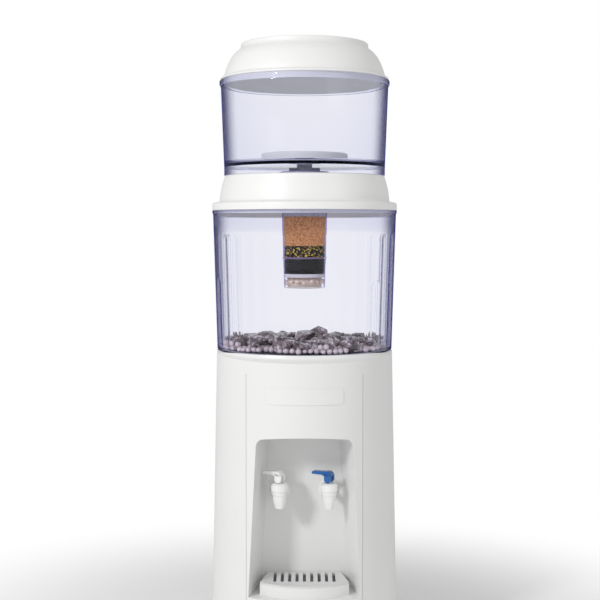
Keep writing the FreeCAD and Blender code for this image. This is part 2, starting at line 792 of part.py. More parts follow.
ROTOR_LOW = f"({FAN_LOW} + fan_plate + fan_clearance / 2)"
ROTOR_HEIGHT = "(fan_depth - fan_plate - fan_clearance)"
rotor = new_body("fan_rotor")
spin(rotor, "rotor_hub", [
    ("0", f"{FAN_LOW} + fan_gap"),
    ("fan_shaft", f"{FAN_LOW} + fan_gap"),
    ("fan_shaft", ROTOR_LOW),
    ("hub_radius", ROTOR_LOW),
    ("hub_radius", f"{ROTOR_LOW} + {ROTOR_HEIGHT}"),
    ("0", f"{ROTOR_LOW} + {ROTOR_HEIGHT}"),
])
blade = plane_sketch(rotor, "blade", "YZ_Plane", "hub_radius - fan_gap")
outline(blade, [
    ("-blade_chord / 2", f"{ROTOR_LOW} + fan_gap"),
    ("blade_thickness - blade_chord / 2", f"{ROTOR_LOW} + fan_gap"),
    ("blade_chord / 2", f"{ROTOR_LOW} + {ROTOR_HEIGHT} - fan_gap"),
    ("blade_chord / 2 - blade_thickness", f"{ROTOR_LOW} + {ROTOR_HEIGHT} - fan_gap"),
])
blade_pad = raise_from(rotor, "blade_pad", blade, "fan_bore - fan_clearance - hub_radius - fan_gap")
circle_pattern(rotor, "blades", blade_pad, blade, "blade_count")
place(rotor, y="cooler_back")
keep(rotor, "fan_rotor")

# Mains inlet and rocker switch in the back wall

BACK_Y = "back_reach"
inlet = new_body("power_inlet")
flange_sketch = plane_sketch(inlet, "inlet_flange_face", "XZ_Plane", "-inlet_flange / 2")
INLET_X = "(inlet_width / 2 + inlet_flange)"
INLET_Z = "(inlet_height / 2 + inlet_flange)"
block(flange_sketch, f"-{INLET_X}", INLET_X, f"-{INLET_Z}", INLET_Z)
raise_from(inlet, "inlet_flange_pad", flange_sketch, "inlet_flange / 2")
socket_sketch = plane_sketch(inlet, "inlet_shell_face", "XZ_Plane")
block(socket_sketch, "-inlet_width / 2", "inlet_width / 2", "-inlet_height / 2", "inlet_height / 2")
raise_from(inlet, "inlet_shell", socket_sketch, "inlet_depth")
cavity_sketch = plane_sketch(inlet, "inlet_cavity_face", "XZ_Plane", "inlet_depth - shell_wall")
block(
    cavity_sketch,
    "shell_wall / 2 - inlet_width / 2",
    "inlet_width / 2 - shell_wall / 2",
    "shell_wall / 2 - inlet_height / 2",
    "inlet_height / 2 - shell_wall / 2",
)
raise_from(inlet, "inlet_cavity", cavity_sketch, "inlet_depth + inlet_flange", "Pocket")
place(inlet, "-entry_spacing / 2", BACK_Y, "entry_height")
keep(inlet, "power_inlet")

switch_case = new_body("switch_housing")
rim_sketch = plane_sketch(switch_case, "switch_rim_face", "XZ_Plane", "-inlet_flange / 2")
SWITCH_X = "(switch_width / 2 + inlet_flange / 2)"
SWITCH_Z = "(switch_height / 2 + inlet_flange / 2)"
block(rim_sketch, f"-{SWITCH_X}", SWITCH_X, f"-{SWITCH_Z}", SWITCH_Z)
raise_from(switch_case, "switch_rim", rim_sketch, "inlet_flange / 2")
case_sketch = plane_sketch(switch_case, "switch_case_face", "XZ_Plane")
block(case_sketch, "-switch_width / 2", "switch_width / 2", "-switch_height / 2", "switch_height / 2")
raise_from(switch_case, "switch_case", case_sketch, "switch_depth")
well_sketch = plane_sketch(switch_case, "switch_well_face", "XZ_Plane", "switch_depth - shell_wall / 2")
block(
    well_sketch,
    "shell_wall / 2 - switch_width / 2",
    "switch_width / 2 - shell_wall / 2",
    "shell_wall / 2 - switch_height / 2",
    "switch_height / 2 - shell_wall / 2",
)
raise_from(switch_case, "switch_well", well_sketch, "switch_depth + inlet_flange", "Pocket")
pivot_hole = plane_sketch(switch_case, "pivot_hole", "YZ_Plane", "-switch_width")
circle(pivot_hole, "pin_radius + shaft_clearance", x="-pivot_depth")
raise_from(switch_case, "pivot_drilling", pivot_hole, "2 * switch_width", "Pocket", back=True)
place(switch_case, "entry_spacing / 2", BACK_Y, "entry_height")
keep(switch_case, "switch_housing")

rocker = new_body("rocker_switch")
ROCKER_START = "rocker_side_gap - switch_width / 2 + shell_wall / 2"
rocker_sketch = plane_sketch(rocker, "rocker_side", "YZ_Plane", ROCKER_START)
ROCKER_END = "(switch_height / 2 - shell_wall / 2 - rocker_end_gap)"
outline(rocker_sketch, [
    ("-rocker_root", "-rocker_root_width / 2"),
    ("-rocker_root", "rocker_root_width / 2"),
    ("rocker_high - rocker_skin", ROCKER_END),
    ("rocker_high", f"{ROCKER_END} - rocker_skin"),
    ("rocker_middle", "0"),
    ("rocker_low + rocker_skin", f"rocker_skin - {ROCKER_END}"),
    ("rocker_low", f"-{ROCKER_END}"),
])
raise_from(rocker, "rocker_pad", rocker_sketch, "switch_width - shell_wall - 2 * rocker_side_gap")
pivot = plane_sketch(rocker, "rocker_pivot", "YZ_Plane", "pivot_gap - switch_width / 2")
circle(pivot, "pin_radius", x="-pivot_depth")
raise_from(rocker, "pivot_stubs", pivot, "switch_width - 2 * pivot_gap")
place(rocker, "entry_spacing / 2", BACK_Y, "entry_height")
keep(rocker, "rocker_switch")

# Taps: barrel with spout and shank, seal, stem, spring, bonnet, pin and paddle lever

TAP_Y = "-(alcove_back + tap_reach)"
SEAT_TOP = "(seat_thickness - barrel_taper)"
BONNET_TOP = "(barrel_top + bonnet_height)"
PIN_Z = f"({BONNET_TOP} + pin_height)"
STEM_FOOT = f"({SEAT_TOP} + seal_height)"
BORE = "(barrel_radius - bonnet_wall)"
STEM_HOLE = "(stem_radius + stem_clearance)"


def build_tap(colour, side):
    x = f"{side}tap_spacing / 2"
    at = {"x": x, "y": TAP_Y, "z": "tap_level"}
    body = new_body(colour + "_tap_body")
    spin(body, "barrel", [
        ("0", "-spout_drop"),
        ("spout_radius", "-spout_drop"),
        ("barrel_radius", "-barrel_taper"),
        ("barrel_radius", "barrel_top"),
        ("0", "barrel_top"),
    ])
    shank = plane_sketch(body, "shank_circle", "XZ_Plane", "-(tap_reach + shank_tail)")
    circle(shank, "shank_radius")
    raise_from(body, "shank", shank, "shank_tail + flange_thickness")
    arm = plane_sketch(body, "arm_circle", "XZ_Plane", "-(tap_reach - flange_thickness)")
    circle(arm, "arm_radius")
    raise_from(body, "arm", arm, "tap_reach - flange_thickness")
    spin(body, "valve_bore", [
        ("0", "-spout_drop"),
        ("spout_bore", "-spout_drop"),
        ("spout_bore", "-barrel_taper"),
        ("stem_radius + port_clearance", "-barrel_taper"),
        ("stem_radius + port_clearance", SEAT_TOP),
        (BORE, SEAT_TOP),
        (BORE, "barrel_top"),
        ("0", "barrel_top"),
    ], kind="Groove")
    drilling = plane_sketch(body, "shank_bore_circle", "XZ_Plane", "-(tap_reach + shank_tail)")
    circle(drilling, "shank_bore")
    raise_from(body, "shank_drilling", drilling, "tap_reach + shank_tail", "Pocket", back=True)
    place(body, **at)
    keep(body, colour + "_tap_body")

    flange = new_body(colour + "_tap_flange")
    flange_face = plane_sketch(flange, "flange_circles", "XZ_Plane", "alcove_back")
    circle(flange_face, "flange_radius")
    circle(flange_face, "shank_radius")
    raise_from(flange, "flange_pad", flange_face, "flange_thickness")
    place(flange, x=x, z="tap_level")
    keep(flange, colour + "_tap_flange")

    nut = new_body(colour + "_shank_nut")
    nut_face = plane_sketch(nut, "nut_outline", "XZ_Plane", f"{BACK_FACE} - nut_thickness")
    half = "nut_across / 2"
    point = "nut_across / sqrt(3)"
    outline(nut_face, [
        (point, "0"),
        (f"{point} / 2", half),
        (f"-{point} / 2", half),
        (f"-{point}", "0"),
        (f"-{point} / 2", f"-{half}"),
        (f"{point} / 2", f"-{half}"),
    ])
    circle(nut_face, "shank_radius")
    raise_from(nut, "nut_pad", nut_face, "nut_thickness")
    place(nut, x=x, z="tap_level")
    keep(nut, colour + "_shank_nut")

    turned_part(colour + "_tap_bonnet", [
        (STEM_HOLE, BONNET_TOP),
        (STEM_HOLE, f"{BONNET_TOP} - bonnet_wall"),
        (BORE, f"{BONNET_TOP} - bonnet_wall"),
        (BORE, "barrel_top"),
        ("bonnet_radius", "barrel_top"),
        ("bonnet_radius", f"{BONNET_TOP} - bonnet_wall"),
        ("bonnet_radius - bonnet_wall", BONNET_TOP),
    ], **at)
    turned_part(colour + "_tap_seal", [
        (STEM_HOLE, f"{SEAT_TOP} + seal_height"),
        ("0", f"{SEAT_TOP} + seal_height"),
        ("0", SEAT_TOP),
        ("seal_radius", SEAT_TOP),
        ("seal_radius", f"{SEAT_TOP} + seal_height / 2"),
    ], **at)
    stem = new_body(colour + "_tap_stem")
    spin(stem, "stem_rod", [
        ("0", STEM_FOOT),
        ("stem_radius", STEM_FOOT),
        ("stem_radius", f"{PIN_Z} + stem_radius"),
        ("0", f"{PIN_Z} + stem_radius"),
    ])
    spin(stem, "spring_collar", [
        ("stem_radius", STEM_FOOT),
        (f"{BORE} - stem_clearance", STEM_FOOT),
        (f"{BORE} - stem_clearance", f"{STEM_FOOT} + spring_seat"),
        ("stem_radius", f"{STEM_FOOT} + spring_seat"),
    ])
    eye = plane_sketch(stem, "pin_eye", "YZ_Plane", "-bonnet_radius")
    circle(eye, "pin_radius + shaft_clearance", y=PIN_Z)
    raise_from(stem, "pin_eye_cut", eye, "2 * bonnet_radius", "Pocket", back=True)
    place(stem, turn="-lever_turn", **at)
    keep(stem, colour + "_tap_stem")

    turned_part(colour + "_tap_spring", [
        (f"{STEM_HOLE} + spring_clearance", f"{STEM_FOOT} + spring_seat"),
        (f"{BORE} - spring_clearance", f"{STEM_FOOT} + spring_seat"),
        (f"{BORE} - spring_clearance", f"{BONNET_TOP} - bonnet_wall"),
        (f"{STEM_HOLE} + spring_clearance", f"{BONNET_TOP} - bonnet_wall"),
    ], **at)

    lever = new_body(colour + "_lever")
    heel = plane_sketch(lever, "lever_side", "YZ_Plane", "-lever_width / 2")
    LEVER_TOP = f"({BONNET_TOP} + heel_height)"
    outline(heel, [
        ("-heel_reach", BONNET_TOP),
        ("heel_reach", BONNET_TOP),
        ("heel_reach", f"{LEVER_TOP} - paddle_thickness"),
        ("heel_reach / 2", f"{LEVER_TOP} + lever_crown"),
        ("-heel_reach", f"{LEVER_TOP} + lever_crown"),
        ("-paddle_reach", LEVER_TOP),
        ("-paddle_reach", f"{LEVER_TOP} - paddle_thickness"),
        ("-paddle_root", f"{LEVER_TOP} - paddle_thickness"),
    ])
    raise_from(lever, "lever_form", heel, "lever_width")
    sides = plane_sketch(lever, "paddle_trim", "XY_Plane", f"{BONNET_TOP} - port_clearance")
    for sign in ("-", ""):
        block(
            sides,
            f"{sign}paddle_width / 2",
            f"{sign}lever_width",
            "-2 * paddle_reach",
            "-heel_reach - port_clearance",
        )
    raise_from(lever, "paddle_sides", sides, "2 * heel_height", "Pocket", back=True)
    slot = plane_sketch(lever, "slot_outline", "XY_Plane", f"{BONNET_TOP} - port_clearance")
    block(slot, "-lever_slot / 2", "lever_slot / 2", "-slot_reach", "heel_reach + port_clearance")
    slot_depth = f"{PIN_Z} + 1.5 * stem_radius - {BONNET_TOP} + port_clearance"
    raise_from(lever, "stem_slot", slot, slot_depth, "Pocket", back=True)
    lever_eye = plane_sketch(lever, "lever_eye", "YZ_Plane", "-lever_width")
    circle(lever_eye, "pin_radius", y=PIN_Z)
    raise_from(lever, "lever_eye_cut", lever_eye, "2 * lever_width", "Pocket", back=True)
    place(lever, turn="-lever_turn", **at)
    keep(lever, colour + "_lever")

    pin = new_body(colour + "_lever_pin")
    pin_circle = plane_sketch(pin, "pin_circle", "YZ_Plane", "pin_inset - lever_width / 2")
    circle(pin_circle, "pin_radius", y=PIN_Z)
    raise_from(pin, "pin_rod", pin_circle, "lever_width - 2 * pin_inset")
    place(pin, turn="-lever_turn", **at)
    keep(pin, colour + "_lever_pin")

    # hose from the shank's tail up to the port above it
    hose = new_body(colour + "_tap_hose")
    start = "(alcove_back - shank_tail)"
    path = plane_sketch(hose, "hose_path", "YZ_Plane")
    ring = plane_sketch(hose, "hose_section", "XZ_Plane", start)
    circle(ring, "port_radius + hose_wall")
    circle(ring, "port_radius")
    hose_route(path, start)
    pipe = hose.newObject("PartDesign::AdditivePipe", "hose_pipe")
    pipe.Profile = ring
    pipe.Spine = path
    place(hose, x=x, z="tap_level")
    keep(hose, colour + "_tap_hose")


def hose_route(sketch, start):
    """Level out of the shank, round one bend and straight up to the port."""
    up = "port_forward"
    corner = f"-{up} - hose_bend"
    top = "reservoir_floor - port_length - tap_level"
    bent = "hose_bend * (1 - sqrt(0.5))"
    a = Vector(-number(start), 0, 0)
    b = Vector(number(corner), 0, 0)
    middle = Vector(-number(up) - number(bent), number(bent), 0)
    c = Vector(-number(up), number("hose_bend"), 0)
    d = Vector(-number(up), number(top), 0)
    first = sketch.addGeometry(Part.LineSegment(a, b))
    bend = sketch.addGeometry(Part.Arc(b, middle, c))
    last = sketch.addGeometry(Part.LineSegment(c, d))
    sketch.addConstraint(Bond("Coincident", first, 2, bend, 1))
    sketch.addConstraint(Bond("Coincident", bend, 2, last, 1))
    pin_point(sketch, first, 1, f"-{start}", "0")
    pin_point(sketch, first, 2, corner, "0")
    pin_point(sketch, last, 1, f"-{up}", "hose_bend")
    pin_point(sketch, last, 2, f"-{up}", top)
    tie = sketch.addConstraint(Bond("Radius", bend, number("hose_bend")))
    sketch.setExpression(f"Constraints[{tie}]", f("hose_bend"))


build_tap("white", "-")
build_tap("blue", "")

# Drip tray and its lift-out grille, on the floor of the recess

TRAY_BACK = "-(alcove_back + seat_clearance + tray_back_gap)"
TRAY_TURN = "-(alcove_mouth - tray_turn)"


def tray_outline(sketch, inset):
    outline(sketch, [
        (f"-(tray_back_half_width - {inset})", f"{TRAY_BACK} - {inset}"),
        (f"-(tray_half_width - {inset})", TRAY_TURN),
        (f"tray_half_width - {inset}", TRAY_TURN),
        (f"tray_back_half_width - {inset}", f"{TRAY_BACK} - {inset}"),
    ], {1: ("0", f"-(tray_front - {inset})")})


tray = new_body("drip_tray")
tray_sketch = plane_sketch(tray, "tray_outline", "XY_Plane", "alcove_floor")
tray_outline(tray_sketch, "0")
raise_from(tray, "tray_block", tray_sketch, "tray_height")
tray_inside = plane_sketch(tray, "tray_inside", "XY_Plane", "alcove_floor + tray_wall")
tray_outline(tray_inside, "tray_wall")
raise_from(tray, "tray_hollow", tray_inside, "tray_height", "Pocket", back=True)
keep(tray, "drip_tray")

grille = new_body("drip_grille")
GRILLE_LOW = "(alcove_floor + tray_height)"
grille_sketch = plane_sketch(grille, "grille_outline", "XY_Plane", GRILLE_LOW)
tray_outline(grille_sketch, "seam_gap")
raise_from(grille, "grille_plate", grille_sketch, "grille_thickness")
locator = plane_sketch(grille, "grille_locator", "XY_Plane", GRILLE_LOW)
tray_outline(locator, "(tray_wall + seat_clearance)")
raise_from(grille, "grille_locator_pad", locator, "tray_wall", back=True)
slit = plane_sketch(grille, "slit", "XY_Plane", f"{GRILLE_LOW} - 2 * tray_wall")
SLIT_X = "(grille_pitch * (grille_count - 1) / 2)"
block(
    slit,
    f"-{SLIT_X} - grille_slot / 2",
    f"grille_slot / 2 - {SLIT_X}",
    "-(alcove_mouth - slit_end)",
    f"{TRAY_BACK} - 3 * tray_wall",
)
slit_cut = raise_from(grille, "slit_cut", slit, "4 * tray_wall + grille_thickness", "Pocket", back=True)
row_pattern(grille, "slits", slit_cut, slit, "H_Axis", f"2 * {SLIT_X}", "grille_count")
keep(grille, "drip_grille")

# Lower tank: fluted clear wall, rim band, floor and the neck that drops into the funnel

SEAT = "dispenser_height"
COVER = "(dispenser_height + lower_tank_height)"
UPPER = f"({COVER} + cover_height)"
LID = f"({UPPER} + upper_tank_height)"
NECK_LOW = f"({SEAT} - neck_length)"

lower = new_body("lower_tank")
spin(lower, "lower_wall_form", [
    ("neck_radius - neck_wall", NECK_LOW),
    ("neck_radius", NECK_LOW),
    ("neck_radius", SEAT),
    ("tank_foot_reach - tank_foot_bevel", SEAT),
    ("tank_foot_reach", f"{SEAT} + tank_foot_bevel"),
    ("lower_top_radius", f"{COVER} - rim_height"),
    ("rim_reach", f"{COVER} - rim_height"),
    ("rim_reach", COVER),
    ("lower_top_radius - lower_wall", COVER),
    ("tank_foot_reach - lower_wall", f"{SEAT} + lower_floor"),
    ("neck_radius - neck_wall", f"{SEAT} + lower_floor"),
])
DRAFT = "atan((lower_top_radius - tank_foot_reach) / lower_tank_height)"
flute = plane_sketch(lower, "flute", "XZ_Plane", tilt=DRAFT)
set_size(flute, "AttachmentOffset.Base.z", "(tank_foot_reach - flute_depth)")
set_size(flute, "AttachmentOffset.Base.y", SEAT)
FLUTE_X = "flute_width / 2"
outline(flute, [
    (f"-{FLUTE_X}", "flute_low"),
    (FLUTE_X, "flute_low"),
    (FLUTE_X, f"flute_top - {FLUTE_X}"),
    (f"-{FLUTE_X}", f"flute_top - {FLUTE_X}"),
], {2: ("0", "flute_top")})
flute_cut = raise_from(lower, "flute_cut", flute, "10 * flute_depth", "Pocket", back=True)
around = lower.newObject("PartDesign::PolarPattern", "flutes")
around.Originals = [flute_cut]
around.Axis = ([item for item in lower.Origin.OriginFeatures if item.Role == "Z_Axis"][0], [""])
around.Angle = 360
set_size(around, "Occurrences", "flute_count")
lower.Tip = around
keep(lower, "lower_tank")

STRAINER_UNDER = f"({SEAT} + lower_floor + strainer_height - strainer_wall)"
turned_part("outlet_strainer", [
    ("neck_radius - neck_wall - seat_clearance - strainer_wall", f"{SEAT} - strainer_drop"),
    ("neck_radius - neck_wall - seat_clearance", f"{SEAT} - strainer_drop"),
    ("neck_radius - neck_wall - seat_clearance", f"{SEAT} + lower_floor"),
    ("neck_radius + strainer_lip", f"{SEAT} + lower_floor"),
    ("neck_radius + strainer_lip", f"{SEAT} + lower_floor + strainer_wall"),
    ("neck_radius - neck_wall", f"{SEAT} + lower_floor + strainer_height"),
    ("0", f"{SEAT} + lower_floor + strainer_height"),
    ("0", STRAINER_UNDER),
    ("neck_radius - neck_wall - seat_clearance - strainer_wall", STRAINER_UNDER),
])

# Layer of small mineral balls on the floor, and the heap of stones on it

BED = f"({SEAT} + lower_floor)"
INSIDE = "(tank_foot_reach - lower_wall)"
BED_START = "(neck_radius + strainer_lip + bed_ring_gap)"
turned_part("mineral_balls", [
    (BED_START, BED),
    (f"{INSIDE} - bed_wall_gap", BED),
    (f"{INSIDE} - bed_wall_gap", f"{BED} + ball_bed_height"),
    (BED_START, f"{BED} + ball_bed_height"),
])


def chunk(length, breadth, depth, skew):
    """One rough stone: two six-sided rings of uneven reach between two small end faces."""
    rings = []
    for level, share in ((-0.5, 0.55), (-0.15, 1.0), (0.22, 0.92), (0.5, 0.45)):
        points = []
        for step in range(6):
            reach = share * (1 + 0.16 * ((step * 7 + skew * 3 + int(level * 10)) % 5 - 2) / 2)
            turn = FreeCAD.Rotation(Vector(0, 0, 1), 60 * step + 11 * skew).multVec(Vector(reach, 0, 0))
            points.append(Vector(turn.x * length / 2, turn.y * breadth / 2, level * depth))
        rings.append(Part.makePolygon(points + points[:1]))
    return Part.makeLoft(rings, True, True)


STONE_RINGS = ((7, 54.0, 0.55), (12, 92.0, 0.3), (14, 122.0, 0.0))
STONE_LENGTH = 36.0
stones = []
for ring_number, (count, reach, lift) in enumerate(STONE_RINGS):
    for step in range(count):
        skew = step + 5 * ring_number
        grown = 1 + 0.08 * (skew % 3 - 1)
        stone = chunk(STONE_LENGTH * grown, 0.72 * STONE_LENGTH * grown, number("stone_bed_height"), skew)
        stone.rotate(Vector(), Vector(0, 0, 1), 360 * step / count + 90)
        far = FreeCAD.Rotation(Vector(0, 0, 1), 360 * step / count).multVec(Vector(reach, 0, 0))
        rest = number(BED) + number("ball_bed_height") + number("stone_bed_height") * (0.5 + lift * 0.6)
        stone.translate(Vector(far.x, far.y, rest))
        stones.append(stone)
heap = document.addObject("Part::Feature", "mineral_stones")
heap.Shape = Part.makeCompound(stones)
keep(heap, "mineral_stones")

# Cover between the tanks

COVER_FLANGE = f"({COVER} + cover_flange_height)"
COVER_MIDDLE = "(plateau_reach + waist_reach) / 2 + cover_bulge"
LIP = "(lower_top_radius - lower_wall - seat_clearance)"
ROUND = "(1 - sqrt(0.5))"
turned_part("middle_cover", [
    ("cover_hole", UPPER),
    ("cover_hole", f"{UPPER} - cover_wall - hole_lip"),
    ("cover_hole + cover_wall", f"{UPPER} - cover_wall - hole_lip"),
    ("cover_hole + cover_wall", f"{UPPER} - cover_wall"),
    ("plateau_reach - cover_wall", f"{UPPER} - cover_wall"),
    ("waist_reach - cover_wall", f"{COVER_FLANGE} - flange_slope"),
    (f"{LIP} - cover_wall", COVER),
    (f"{LIP} - cover_wall", f"{COVER} - lip_depth"),
    (f"{LIP} - lip_bevel", f"{COVER} - lip_depth"),
    (LIP, COVER),
    ("rim_reach", COVER),
    ("rim_reach", f"{COVER_FLANGE} - flange_round"),
    ("rim_reach - flange_round", COVER_FLANGE),
    ("waist_reach + waist_round", f"{COVER_FLANGE} + flange_slope"),
    ("waist_reach", f"{COVER_FLANGE} + flange_slope + waist_round"),
    ("plateau_reach", f"{UPPER} - plateau_round"),
    ("plateau_reach - plateau_round", UPPER),
], {
    4: (f"{COVER_MIDDLE} - cover_wall", f"({UPPER} + {COVER_FLANGE}) / 2"),
    11: (f"rim_reach - flange_round * {ROUND}", f"{COVER_FLANGE} - flange_round * {ROUND}"),
    13: (f"waist_reach + waist_round * {ROUND}", f"{COVER_FLANGE} + flange_slope + waist_round * {ROUND}"),
    14: (COVER_MIDDLE, f"({UPPER} + {COVER_FLANGE}) / 2 + flange_slope"),
    15: (f"plateau_reach - plateau_round * {ROUND}", f"{UPPER} - plateau_round * {ROUND}"),
})

# Upper tank: clear bowl with a bead at its rim and a skirt that stands on the cover

FLOOR = f"({UPPER} + upper_skirt)"
FLOOR_TOP = f"({FLOOR} + upper_floor)"
turned_part("upper_tank", [
    ("holder_stem + stem_clearance", FLOOR),
    ("bowl_foot_reach - upper_wall", FLOOR),
    ("bowl_foot_reach - upper_wall", UPPER),
    ("bowl_foot_reach", UPPER),
    ("bowl_top_reach", f"{LID} - bead_height"),
    ("bead_reach - bead_bulge", f"{LID} - bead_height"),
    ("bead_reach - bead_bulge", LID),
    ("bowl_top_reach - upper_wall", LID),
    ("bowl_foot_reach - upper_wall", f"{FLOOR_TOP} + bowl_round"),
    ("bowl_foot_reach - upper_wall - bowl_round", FLOOR_TOP),
    ("holder_stem + stem_clearance", FLOOR_TOP),
], {
    5: ("bead_reach", f"{LID} - bead_height / 2"),
    8: (f"bowl_foot_reach - upper_wall - bowl_round * {ROUND}", f"{FLOOR_TOP} + bowl_round * {ROUND}"),
})

# Ceramic stage: porous disc on a holder whose stem passes through the floor

HOLDER = f"({FLOOR_TOP} + gasket_thickness)"
DISC = f"({HOLDER} + holder_thickness)"
turned_part("stem_gasket", [
    ("holder_stem + stem_clearance", FLOOR_TOP),
    ("gasket_radius", FLOOR_TOP),
    ("gasket_radius", HOLDER),
    ("holder_stem + stem_clearance", HOLDER),
])
turned_part("ceramic_holder", [
    ("stem_bore", f"{DISC} - stem_length - holder_thickness"),
    ("holder_stem", f"{DISC} - stem_length - holder_thickness"),
    ("holder_stem", HOLDER),
    ("ceramic_radius + holder_lip", HOLDER),
    ("ceramic_radius + holder_lip", DISC),
    ("stem_bore", DISC),
])
turned_part("ceramic_disc", [
    ("0", DISC),
    ("ceramic_radius", DISC),
    ("ceramic_radius", f"{DISC} + ceramic_height - ceramic_bevel"),
    ("ceramic_radius - ceramic_bevel", f"{DISC} + ceramic_height"),
    ("0", f"{DISC} + ceramic_height"),
], {
    2: (f"ceramic_radius - ceramic_bevel * {ROUND}", f"{DISC} + ceramic_height - ceramic_bevel * {ROUND}"),
})

wing_nut = new_body("wing_nut")
NUT_LOW = f"({FLOOR} - wing_nut_height)"
spin(wing_nut, "nut_ring", [
    ("holder_stem", NUT_LOW),
    ("wing_nut_radius", NUT_LOW),
    ("wing_nut_radius", FLOOR),
    ("holder_stem", FLOOR),
])
wings = plane_sketch(wing_nut, "wing_outline", "XY_Plane", NUT_LOW)
for sign in ("-", ""):
    block(
        wings,
        f"{sign}(holder_stem + wing_step)",
        f"{sign}2 * wing_nut_radius",
        "-wing_thickness / 2",
        "wing_thickness / 2",
    )
raise_from(wing_nut, "wings", wings, "wing_nut_height - wing_step")
keep(wing_nut, "wing_nut")

# Cartridge: clear tapered tube of layered media, screwed on the holder's stem

TUBE_TOP = f"({NUT_LOW} - cap_gap)"
TUBE_END = f"({TUBE_TOP} - cartridge_length)"
CAP_LOW = f"({TUBE_TOP} - cartridge_cap_height)"


def cartridge_radius(height):
    """Outer radius of the tapered tube at a height."""
    return (
        f"(cartridge_low_radius + (cartridge_top_radius - cartridge_low_radius)"
        f" * (({height}) - {TUBE_END}) / cartridge_length)"
    )


turned_part("cartridge_cap", [
    ("holder_stem", TUBE_TOP),
    ("holder_stem", f"{TUBE_TOP} - cap_wall - cap_boss_depth"),
    ("holder_stem + cap_boss_wall", f"{TUBE_TOP} - cap_wall - cap_boss_depth"),
    ("holder_stem + cap_boss_wall", f"{TUBE_TOP} - cap_wall"),
    ("cartridge_top_radius", f"{TUBE_TOP} - cap_wall"),
    ("cartridge_top_radius", CAP_LOW),
    ("cartridge_top_radius + cap_lip", CAP_LOW),
    ("cartridge_top_radius + cap_lip", f"{TUBE_TOP} - cap_bevel"),
    ("cartridge_top_radius + cap_lip - cap_bevel", TUBE_TOP),
])
SLEEVE_TOP = f"({TUBE_TOP} - cap_wall)"
MEDIA_LOW = f"({TUBE_END} + grid_height)"
sleeve = new_body("cartridge_sleeve")
spin(sleeve, "sleeve_form", [
    ("0", TUBE_END),
    (cartridge_radius(TUBE_END), TUBE_END),
    (cartridge_radius(SLEEVE_TOP), SLEEVE_TOP),
    (f"{cartridge_radius(SLEEVE_TOP)} - cartridge_wall", SLEEVE_TOP),
    (f"{cartridge_radius(MEDIA_LOW)} - cartridge_wall", MEDIA_LOW),
    ("0", MEDIA_LOW),
])
drain = plane_sketch(sleeve, "drain_slot", "XY_Plane", MEDIA_LOW)
block(
    drain,
    "drain_start",
    "cartridge_low_radius - 3 * cartridge_wall",
    "-drain_width / 2",
    "drain_width / 2",
)
drain_cut = raise_from(sleeve, "drain_cut", drain, "2 * grid_height", "Pocket")
drains = sleeve.newObject("PartDesign::PolarPattern", "drains")
drains.Originals = [drain_cut]
drains.Axis = (drain, ["N_Axis"])
drains.Angle = 360
set_size(drains, "Occurrences", "drain_count")
sleeve.Tip = drains
keep(sleeve, "cartridge_sleeve")


def media_layer(label, low, height):
    """A layer that fills the tube between two heights."""
    top = f"({low} + {height})"
    turned_part(label, [
        ("0", low),
        (f"{cartridge_radius(low)} - cartridge_wall - media_gap", low),
        (f"{cartridge_radius(top)} - cartridge_wall - media_gap", top),
        ("0", top),
    ])
    return top


level = media_layer("ceramic_beads", MEDIA_LOW, "bead_bed_height")
level = media_layer("filter_pad", level, "pad_height")
level = media_layer("carbon_layer", level, "carbon_height")
level = media_layer("layer_divider", level, "divider_height")
level = media_layer("speckled_layer", level, "speckled_height")
level = media_layer("orange_layer", level, "orange_height")
level = media_layer("top_foam", level, "foam_height")

# Lid: domed cover with a raised ring round a shallow recess

TOP = f"({LID} + lid_height)"
RING_BASE = f"({TOP} - lid_ring_height)"
SKIRT = f"({LID} + lid_wall * 1.5)"
PLUG = "(bowl_top_reach - upper_wall - seat_clearance)"
DOME = "(lid_skirt_reach + lid_ring_reach) / 2 + dome_bulge"
turned_part("lid", [
    ("0", f"{TOP} - lid_recess - lid_wall"),
    ("lid_ring_reach - lid_ring_width", f"{TOP} - lid_recess - lid_wall"),
    ("lid_skirt_reach - lid_wall * 2", SKIRT),
    (f"{PLUG} - lid_wall", SKIRT),
    (f"{PLUG} - lid_wall", f"{LID} - lid_plug_depth"),
    (f"{PLUG} - plug_bevel", f"{LID} - lid_plug_depth"),
    (PLUG, LID),
    ("bead_reach - lid_overhang", LID),
    ("bead_reach - lid_overhang", f"{LID} + lid_wall"),
    ("lid_skirt_reach", f"{LID} + lid_wall + lid_overhang"),
    ("lid_ring_reach + ring_step", RING_BASE),
    ("lid_ring_reach", RING_BASE),
    ("lid_ring_reach", f"{TOP} - ring_round"),
    ("lid_ring_reach - ring_round", TOP),
    ("lid_ring_reach - lid_ring_width", TOP),
    ("lid_ring_reach - lid_ring_width - recess_bevel", f"{TOP} - lid_recess"),
    ("0", f"{TOP} - lid_recess"),
], {
    1: (f"{DOME} - lid_wall * 2 - plug_bevel", f"({TOP} + {LID}) / 2 - lid_wall"),
    9: (DOME, f"({TOP} + {LID}) / 2 + dome_bulge"),
    12: (f"lid_ring_reach - ring_round * {ROUND}", f"{TOP} - ring_round * {ROUND}"),
})

# Screws that hold the base plate to the feet

screws = new_body("base_screws")
screw_sketch = plane_sketch(screws, "screw_circles", "XY_Plane", f"{BASE_LOW} + base_thickness")
for x, y in FOOT_PLACES:
    circle(screw_sketch, "foot_radius / 3", x, y)
raise_from(screws, "screw_heads", screw_sketch, "foot_radius / 5")
keep(screws, "base_screws")

document.recompute()

# Nothing is written unless every object came out whole
for item in document.Objects:
    if "Invalid" in item.State or "Error" in item.State:
        raise RuntimeError(f"{item.Name} failed: {item.State} {item.getStatusString()}")
for node in nodes:
    if node.Shape.isNull() or not node.Shape.isValid() or not node.Shape.Solids:
        raise RuntimeError(f"{node.Label} has no valid solid")

